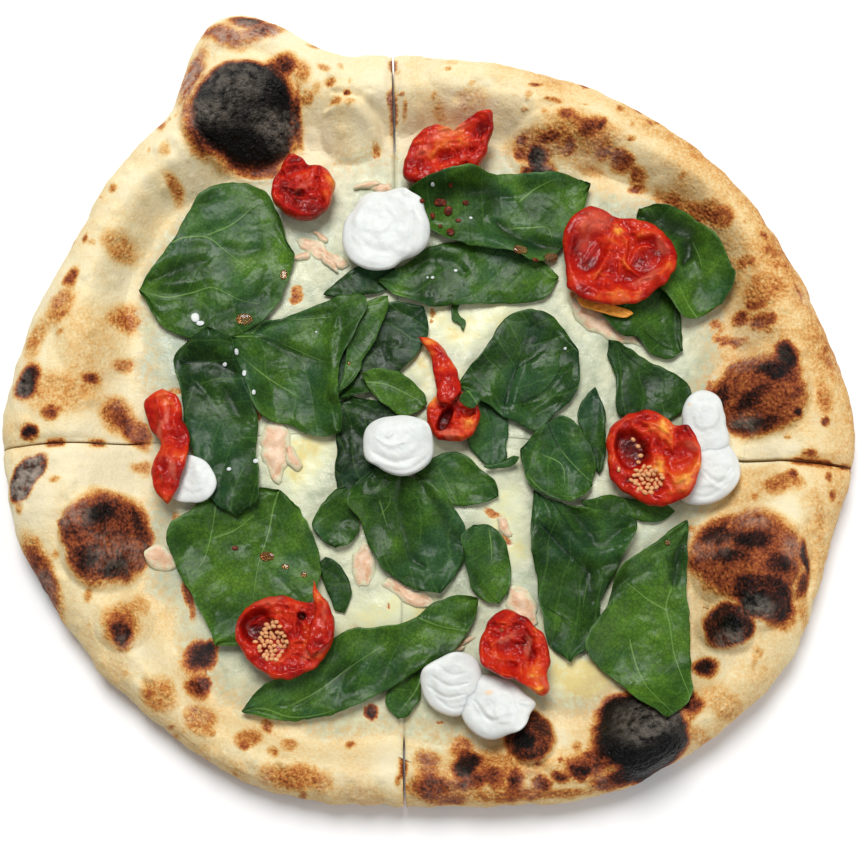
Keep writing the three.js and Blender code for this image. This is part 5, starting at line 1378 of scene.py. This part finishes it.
dollop(1, [((-17, 65), [(-34, 64), (-33, 70), (-29, 74), (-27, 79), (-22, 81), (-17, 80), (-12, 82),
                        (-7, 78), (-2, 77), (-3, 73), (0, 66), (-1, 58), (-6, 54), (-11, 53),
                        (-14, 49), (-21, 48), (-28, 50), (-32, 54), (-34, 59)], 8.5,
            [((-18, 68), (13, 13), 0, 1.8), ((-9, 63), (9, 11), 20, 1.4), ((-21, 69), (9, 8), 0, 2.2)])],
       [([(-8, 80), (-7, 66), (-9, 56), (-12, 50)], -0.9, 0.8),
        ([(-33, 56), (-26, 50), (-17, 49)], -0.8, 0.9),
        ([(-30, 62), (-24, 55), (-16, 53)], 0.5, 1.2), ([(-10, 77), (-8, 81)], 1.4, 0.9),
        ([(-5, 76), (0, 78)], 1.2, 0.8)], [], 601)
dollop(2, [((-13, -21), [(-25, -21), (-24, -14), (-20, -11), (-14, -10), (-7, -10), (-1, -13), (1, -19),
                         (1, -26), (-4, -31), (-9, -33), (-15, -32), (-20, -29), (-24, -27)], 9,
            [((-13, -19), (10, 9), 0, 1.6), ((-11, -18), (5.5, 4), 0, 1.2)])],
       [([(-20, -19), (-15, -22), (-10, -21)], 0.8, 0.9),
        ([(-24, -26), (-18, -30), (-8, -31), (0, -25)], -0.7, 0.9),
        ([(-16, -19), (-14, -17)], 1.2, 0.8), ([(-22, -24), (-14, -28), (-4, -26)], -0.5, 0.8)], [], 611)
dollop(3, [((104, -12), [(96, -12), (96, -6), (99, -1), (104, 1), (109, -1), (111, -7), (112, -13),
                         (113, -21), (108, -26), (100, -25), (96, -19)], 7.5,
            [((104, -10), (5, 6), 0, 1.2)]),
           ((105, -29), [(92, -38), (95, -31), (97, -25), (99, -20), (104, -17), (110, -17), (115, -23),
                         (117, -30), (114, -37), (109, -41), (102, -43), (95, -42)], 7.5,
            [((107, -28), (8, 7), 0, 1.4), ((104, -32), (7, 5), 20, 0.8)])],
       [([(96, -39), (104, -40), (112, -35)], -0.8, 0.9), ([(102, -30), (108, -35), (113, -29)], -0.8, 0.9),
        ([(103, -33), (109, -37), (115, -31)], 0.6, 0.9)],
       [((98, -6), (1.2, 1.2), 0, 0.6), ((96, -41), (1.4, 1), 0, 0.6)], 621)
dollop(4, [((8, -109), [(-3, -104), (-3, -111), (0, -117), (5, -120), (10, -121), (14, -119), (18, -115),
                        (19, -108), (17, -100), (13, -98), (8, -98), (4, -100), (0, -102)], 7,
            [((9, -108), (9, 8), 10, 1.4)]),
           ((24, -117), [(11, -111), (11, -117), (12, -122), (15, -126), (20, -129), (24, -129), (28, -127),
                         (32, -126), (35, -123), (36, -119), (40, -116), (35, -114), (32, -110), (26, -107),
                         (20, -106), (14, -107)], 7.5,
            [((24, -116), (8, 7), 0, 1.6), ((27, -118), (5, 5), 0, 1.4)])],
       [([(-1, -110), (6, -114), (13, -113)], -1.0, 0.7), ([(0, -106), (7, -110), (14, -109)], -0.8, 0.7),
        ([(2, -102), (8, -106), (14, -105)], -0.6, 0.7), ([(2, -114), (8, -118), (14, -117)], -0.7, 0.7),
        ([(16, -115), (22, -122), (30, -120)], -1.2, 0.8), ([(32, -116), (39, -116)], 1.8, 1.0),
        ([(31, -120), (36, -120)], 1.2, 0.9)],
       [((22, -112), (1.8, 1.2), 0, 0.7)], 641)
dollop(5, [((-89, -34), [(-97, -28), (-93, -24), (-88, -25), (-82, -30), (-80, -36), (-83, -41), (-90, -42),
                         (-96, -41), (-98, -35)], 3, [((-88, -34), (5, 5), 0, 0.8)])], [], [], 661)

# ---------------------------------------------------------------- Tomatoes on top
# The halves that lie highest, on leaves and cheese: one ball of skin, two open cups with
# seeds, one heart-shaped half, a long strip and a chunk.

SEED_GRID = (10, 6)             # mesh steps round a seed, and from its top to its bottom
SEED_SPACING = 1.85
SEED_ROWS = range(-4, 5)
SEED_TALL = 0.6


def seed_bed(at, radii):
    """Places of seeds packed in an oval."""
    places = []
    for row in SEED_ROWS:
        for column in SEED_ROWS:
            x = SEED_SPACING * (column + 0.5 * (row % 2))
            y = 0.9 * SEED_SPACING * row
            if math.hypot(x / radii[0], y / radii[1]) < 1:
                places.append((at[0] + x, at[1] + y))
    return places


def seeds_part(places, seed):
    """Flat pale seeds half sunk in the pulp."""
    spokes, rings = SEED_GRID
    turn, lean = np.meshgrid(np.arange(spokes) / spokes * 2 * np.pi,
                             np.linspace(0.3, np.pi - 0.3, rings), indexing="ij")
    ball = flat(np.cos(turn) * np.sin(lean), np.sin(turn) * np.sin(lean), np.cos(lean)).reshape(-1, 3)
    index, quads = ring_quads(spokes, rings)
    caps = [index[None, :, 0], index[None, ::-1, -1]]
    draw = np.random.default_rng(seed)
    seeds = []
    for px, py in places:
        angle, *nudge = draw.uniform((0, -0.5, -0.5), (np.pi, 0.5, 0.5))
        long = draw.uniform(0.95, 1.25)
        wide = draw.uniform(0.7, 0.9)
        x = px + nudge[0] + ball[:, 0] * long * math.cos(angle) - ball[:, 1] * wide * math.sin(angle)
        y = py + nudge[1] + ball[:, 0] * long * math.sin(angle) + ball[:, 1] * wide * math.cos(angle)
        i = int(round((px + MAP_REACH) / CELL))
        j = int(round((py + MAP_REACH) / CELL))
        z = surface[i, j] + draw.uniform(-0.2, 0.6) + ball[:, 2] * SEED_TALL
        seeds.append((flat(x, y, z), [quads, *caps]))
    return *join(seeds), 0.7, 0.0, 0.85


tomato_piece("roasted_ball", "tomato_ball", [laid_tomato(
    (-49, 81), [(-38, 80), (-37, 84), (-39, 88), (-43, 91), (-48, 91), (-50, 94), (-55, 96), (-58, 92),
                (-59, 88), (-62, 83), (-61, 76), (-57, 71), (-51, 69), (-45, 70), (-40, 74)], 11.5,
    [((-46, 73), (8, 4.5), 10, 0.9)],
    [([(-60, 87), (-53, 87), (-46, 91)], -1.8, 1.5), ([(-43, 90), (-44, 82), (-41, 74)], -1.4, 1.3),
     ([(-57, 80), (-50, 78), (-45, 80)], -1.0, 1.3), ([(-38, 86), (-37, 80), (-38, 75)], 1.0, 1.6),
     ([(-54, 84), (-48, 86)], 0.9, 1.4)],
    [((-39, 79), 4, 0.36), ((-38, 84), 3, 0.2), ((-50, 84), 4, 0.05), ((-48, 71), 6, -0.2),
     ((-53, 91), 4, -0.24), ((-51, 78), 9, -0.12)],
    [((-50, 82), (4, 2), 30, 0.25), ((-40, 87), (2.4, 2), 0, 0.3)], 541)])
tomato_piece("roasted_heart", "tomato_heart", [tomato_strip(
    (57, 38), (78, 31), [1.8, 1.8, 2, 2, 1.6], [1.8, 2.4, 2.8, 2.8, 2], 2, [], [((67, 34), 30, 0.9)], [],
    556), laid_tomato(
    (73, 53), [(52, 57), (52, 64), (56, 70), (61, 74), (67, 74), (71, 70), (75, 69), (83, 68), (90, 63),
               (95, 56), (95, 49), (91, 43), (85, 38), (77, 34), (67, 34), (59, 36), (53, 41),
               (53, 49)], 6.5,
    [((61, 55), (6.5, 10), -20, 1.9), ((83, 53), (9, 9), 10, 2.6), ((74, 44), (8, 3), 10, 0.9)],
    [([(72, 70), (71, 62), (68, 52), (63, 44)], 1.5, 1.3),
     ([(73, 66), (76, 58), (75, 50), (79, 46)], 1.4, 1.1),
     ([(80, 61), (88, 61), (92, 54), (89, 46), (80, 43)], 1.1, 1.3),
     ([(77, 50), (80, 56), (86, 57)], 1.7, 1.5),
     ([(58, 42), (68, 38), (80, 38)], 1.0, 1.6),
     ([(56, 62), (62, 69), (69, 68)], 0.8, 1.4), ([(59, 50), (64, 58), (70, 63)], 0.8, 0.8)],
    [((73, 64), 2, 0.5), ((83, 52), 6, -0.12), ((62, 55), 6, -0.14),
     ((90, 46), 6, 0.16), ((74, 38), 9, 0.16)],
    [((63, 66), (7, 5), 25, 0.42), ((84, 44), (8, 1.8), 20, 0.5), ((90, 58), (2, 5), 25, 0.4),
     ((60, 60), (3, 5), -20, 0.2)], 551)])
curled = laid_tomato(
    (84, -26), [(67, -24), (67, -17), (71, -11), (77, -8), (84, -7), (89, -10), (92, -14), (97, -14),
                (99, -18), (101, -22), (101, -27), (99, -34), (97, -40), (90, -43), (83, -44), (77, -41),
                (73, -38), (69, -36), (67, -30)], 7,
    [((76, -23), (6.5, 8.5), 10, 4.2), ((94, -27), (6, 7), -20, 2.2), ((83, -36), (5, 4), 0, 1.4)],
    [([(68, -30), (68, -18), (74, -11), (84, -9)], 1.2, 1.4), ([(80, -12), (87, -16), (91, -24)], 1.6, 1.6),
     ([(83, -13), (90, -19)], -1.0, 0.9), ([(87, -24), (86, -32), (90, -40)], 1.2, 1.2),
     ([(92, -36), (98, -30), (101, -24)], 1.0, 1.3), ([(91, -28), (97, -26)], 0.9, 0.9)],
    [((75, -21), 5, -0.25), ((83, -32), 4, 0.3), ((86, -13), 5, 0.34),
     ((96, -29), 7, 0.34), ((93, -36), 4, 0.15)],
    [((97, -22), (4, 2), -30, 0.45), ((94, -36), (4, 1.2), 40, 0.5), ((69, -14), (1, 5), -30, 0.5)], 561)
CURLED_SEEDS = [(77, -18), (79, -21), (80, -24), (71, -30), (79, -27)]
tomato_piece("roasted_curled_half", "tomato_curled", [
    curled, seeds_part([*CURLED_SEEDS, *seed_bed((81, -34), (6, 5.5))], 571)])
ring = laid_tomato(
    (-53, -93), [(-72, -90), (-70, -84), (-64, -79), (-57, -77), (-50, -79), (-45, -80), (-39, -80),
                 (-35, -84), (-35, -90), (-37, -97), (-40, -102), (-47, -106), (-54, -108),
                 (-62, -104), (-68, -99)], 6.5,
    [((-63, -89), (7, 6.5), 20, 4.4), ((-57, -95), (6, 6.5), 0, 3.6), ((-47, -85), (1.6, 1.4), 0, 2.0)],
    [([(-72, -92), (-69, -84), (-62, -80), (-52, -81)], 1.0, 1.3),
     ([(-66, -88), (-60, -85), (-53, -87)], 0.9, 0.8),
     ([(-48, -86), (-44, -92), (-44, -100)], 1.2, 1.5), ([(-66, -102), (-56, -106), (-46, -104)], 1.0, 1.5),
     ([(-40, -84), (-42, -93), (-46, -100)], -1.0, 1.0), ([(-50, -99), (-44, -101)], -0.8, 0.9)],
    [((-63, -88), 6, -0.2), ((-47, -85), 2, -0.6), ((-45, -97), 6, 0.12), ((-57, -105), 8, 0.14)],
    [((-43, -98), (5, 2), 30, 0.4), ((-72, -92), (1.4, 7), -10, 0.4),
     ((-60, -79), (8, 1.4), 10, 0.35)], 581)
tail = tomato_strip((-43, -72), (-43, -100), [2, 6, 8, 7.4, 4], [-0.6, -1, -0.6, 0.6, 2], 3.4,
                    [([(-41, -74), (-38, -82), (-37, -92)], 0.8, 1)], [((-41, -76), 6, 0.24)],
                    [((-38, -84), (1.2, 6), -10, 0.4)], 591)
tomato_piece("roasted_ring_half", "tomato_ring", [
    ring, tail, seeds_part(seed_bed((-58, -94), (6.2, 7.4)), 595)])
tomato_piece("roasted_strip", "tomato_strip", [tomato_strip(
    (-102, 2), (-98, -43), [6, 7, 9, 7, 4], [7, 6, 2, 5, 4], 7,
    [([(-104, -2), (-101, -14), (-98, -26), (-99, -38)], 1.0, 1.6),
     ([(-94, -6), (-93, -20), (-95, -34)], -0.9, 1.5),
     ([(-106, -6), (-100, -8)], 0.7, 1.2), ([(-104, -26), (-96, -22)], 0.7, 1.2)],
    [((-101, 0), 5, 0.35), ((-93, -14), 4, -0.3), ((-101, -22), 5, 0.1), ((-99, -42), 4, 0.15)],
    [((-101, -12), (1.6, 8), -8, 0.55), ((-97, -30), (1.4, 6), 8, 0.45)], 701)])
tomato_piece("roasted_chunk", "tomato_chunk", [laid_tomato(
    (32, -97), [(18, -97), (20, -90), (24, -84), (28, -82), (33, -84), (38, -88), (43, -95), (44, -101),
               (42, -107), (44, -112), (41, -115), (36, -111), (31, -108), (24, -106), (19, -103)], 9,
    [((31, -96), (8, 5), 20, 1.0), ((28, -104), (5, 3), 0, 0.8)],
    [([(22, -96), (28, -92), (34, -94)], 1.2, 1.8), ([(24, -88), (30, -86)], 0.9, 1.6),
     ([(35, -90), (37, -98), (36, -106)], -1.3, 1.5), ([(24, -104), (31, -103)], -1.0, 1.4),
     ([(36, -106), (43, -113)], 0.8, 1.6)],
    [((38, -104), 4, 0.4), ((26, -100), 4, 0.1), ((33, -86), 4, -0.1), ((41, -112), 4, 0.15)],
    [((27, -92), (5, 1.8), 30, 0.5), ((36, -96), (1.4, 5), 0, 0.4),
     ((41, -109), (3, 1.2), -50, 0.5)], 711)])

# ---------------------------------------------------------------- Small bits
# What has fallen between the toppings: two torn scraps of leaf, drops of cream cheese, dried
# bits of tomato, and clear drops of their juice on the leaves and the cheese.

lay_leaf(30, (21, -29), (34, -25), [0.8, 0.8, 1.4, 2, 1.4], [0.8, 0.8, 1, 1.4, 1],
         0.2, 0.1, veined=0, scrap=True)
lay_leaf(31, (11, -5), (19, -2), [1.6, 3, 3.4, 3, 1.6], [2, 3.4, 4, 3.4, 2], 0.3, 0.3,
         [[(12, 2), (16, -3), (19, -8)]], scrap=True)

BIT_GRID = (24, 7)              # mesh steps round a bit, and out from its middle
BIT_CORNERS = np.radians(np.arange(0, 360, 40))


def bits(name, places, height, material, seed):
    """Small rounded lumps on whatever lies below: middle and radii of each."""
    draw = np.random.default_rng(seed)
    parts = []
    for (cx, cy), (rx, ry) in places:
        ragged = draw.uniform(0.75, 1.15, len(BIT_CORNERS))
        outline = np.stack([cx + rx * ragged * np.cos(BIT_CORNERS),
                            cy + ry * ragged * np.sin(BIT_CORNERS)], axis=1)
        x, y, share, groups, border = round_plan((cx, cy), outline, *BIT_GRID)
        under = laid(x, y, (1, 1)) - 0.8 * TOUCH_GAP
        top = under + 0.06 + height * min(rx, ry) * np.sqrt(np.clip(1 - share ** 2, 0, 1))
        parts.append(two_sided(x, y, under, top, groups, border))
    points, faces = join(parts)
    piece = new_piece(name, points, faces, material, {"tinge": np.zeros(len(points))})
    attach(piece, "root")


bits("cream_drops", [
    ((-91, 31), (1.6, 2.4)), ((-89, 28.5), (2.2, 0.9)), ((-66, -26), (1.5, 0.8)), ((-76, -29), (1, 0.8)),
    ((-79, 12), (1, 0.7)), ((-74, 16), (0.5, 2)), ((-71, 8), (0.4, 2.2)), ((-67, 0), (0.5, 1.6)),
    ((1, 47), (0.8, 0.6)), ((10, 50), (0.9, 0.6)), ((16, 71), (0.7, 0.6)), ((1, 82), (1, 0.5)),
    ((52, 18), (0.6, 0.6)), ((-44, 25), (0.6, 0.4)), ((-1, 47), (0.5, 0.5)),
], height=0.4, material=CREAM_CHEESE, seed=801)


def dried_tomato():
    dried = Recipe("dried_tomato")
    base = dried.ramp(dried.noise(1.5), [(0.3, (52, 16, 8)), (0.5, (92, 32, 16)), (0.7, (136, 58, 28))])
    return dried.finish(base, 0.45, dried.bump(dried.noise(0.8), 0.2), Specular_IOR_Level=0.2)


bits("dried_tomato_bits", [
    ((4, 77), (3.6, 1.2)), ((7, 74), (1.6, 2.4)), ((8, 65), (1.4, 2)), ((14, 77), (1.6, 0.8)),
    ((1, 72), (0.8, 1.8)), ((11, 70), (1.4, 0.7)), ((4, 68), (0.9, 0.7)), ((-73, -59), (1.6, 0.8)),
    ((41, 53), (1.4, 0.9)), ((-3, 75), (1.4, 0.8)), ((8, 82), (1, 0.6)),
], height=0.35, material=dried_tomato(), seed=802)


def tomato_juice():
    juice = Recipe("tomato_juice")
    base = juice.ramp(juice.noise(4), [(0.3, (224, 150, 84)), (0.7, (244, 206, 150))])
    return juice.finish(base, 0.06, juice.bump(juice.noise(2), 0.02), Transmission_Weight=0.9,
                        IOR=1.33)


bits("drops_of_juice", [
    ((-61, -62), (4.5, 1)), ((-54, -66), (2, 0.8)), ((-47, -69), (1.4, 1)), ((-72, 30), (4.4, 1.5)),
    ((-57, 48), (1.2, 3)), ((89, -57), (1, 1)), ((35, 57), (4, 1.4)), ((47, 55), (4, 1.2)),
    ((-31, 12), (0.6, 0.6)), ((26, -90), (0.8, 0.6)),
], height=0.25, material=tomato_juice(), seed=803)

# ---------------------------------------------------------------- Table, light and camera
# A plain pale table top, a broad soft light from behind and above, a weaker one from the
# right in front, and a camera that looks down steeply, as the photograph does.

HALF_SIDE = 2                   # of the table, in metres like all that follows
corners = [(HALF_SIDE * x, HALF_SIDE * y, 0) for x, y in ((-1, -1), (1, -1), (1, 1), (-1, 1))]
table_mesh = bpy.data.meshes.new("table_top")
table_mesh.from_pydata(corners, [], [(0, 1, 2, 3)])
table = bpy.data.objects.new("table_top", table_mesh)
table.location.z = -0.0003      # just clear of the pizza's flat underside
bpy.context.scene.collection.objects.link(table)
paper = Recipe("pale_table")
table_mesh.materials.append(paper.finish(
    paper.ramp(paper.noise(40), [(0.3, (246, 246, 246)), (0.7, (250, 250, 250))]),
    0.7, paper.bump(paper.noise(1.5), 0.02)))


def soft_light(name, place, size, power):
    """A round soft light that points at the middle of the pizza."""
    lamp = bpy.data.lights.new(name, "AREA")
    lamp.shape = "DISK"
    lamp.size = size
    lamp.energy = power
    holder = bpy.data.objects.new(name, lamp)
    holder.location = place
    holder.rotation_mode = "QUATERNION"
    holder.rotation_quaternion = (-Vector(place)).to_track_quat("-Z", "Y")
    bpy.context.scene.collection.objects.link(holder)


soft_light("window", place=(-0.15, 0.75, 1.35), size=0.8, power=23.5)
soft_light("side", place=(1.0, -0.4, 0.8), size=0.9, power=4.5)
ROOM_LIGHT = 0.28
world = bpy.data.worlds.new("room")
world.use_nodes = True
world.node_tree.nodes["Background"].inputs[0].default_value = (1, 1, 1, 1)
world.node_tree.nodes["Background"].inputs[1].default_value = ROOM_LIGHT
bpy.context.scene.world = world
bpy.context.scene.view_settings.view_transform = "Standard"

CAMERA_TARGET = (0, -0.016, 0.010)
CAMERA_RISE = math.radians(78)
CAMERA_DISTANCE = 0.545
camera_data = bpy.data.cameras.new("camera")
camera_data.lens = 60
camera_data.sensor_width = 36
camera_data.clip_start = 0.01
camera = bpy.data.objects.new("camera", camera_data)
camera.location = (CAMERA_TARGET[0],
                   CAMERA_TARGET[1] - CAMERA_DISTANCE * math.cos(CAMERA_RISE),
                   CAMERA_TARGET[2] + CAMERA_DISTANCE * math.sin(CAMERA_RISE))
camera.rotation_euler = (math.pi / 2 - CAMERA_RISE, 0, 0)
bpy.context.scene.collection.objects.link(camera)
bpy.context.scene.camera = camera
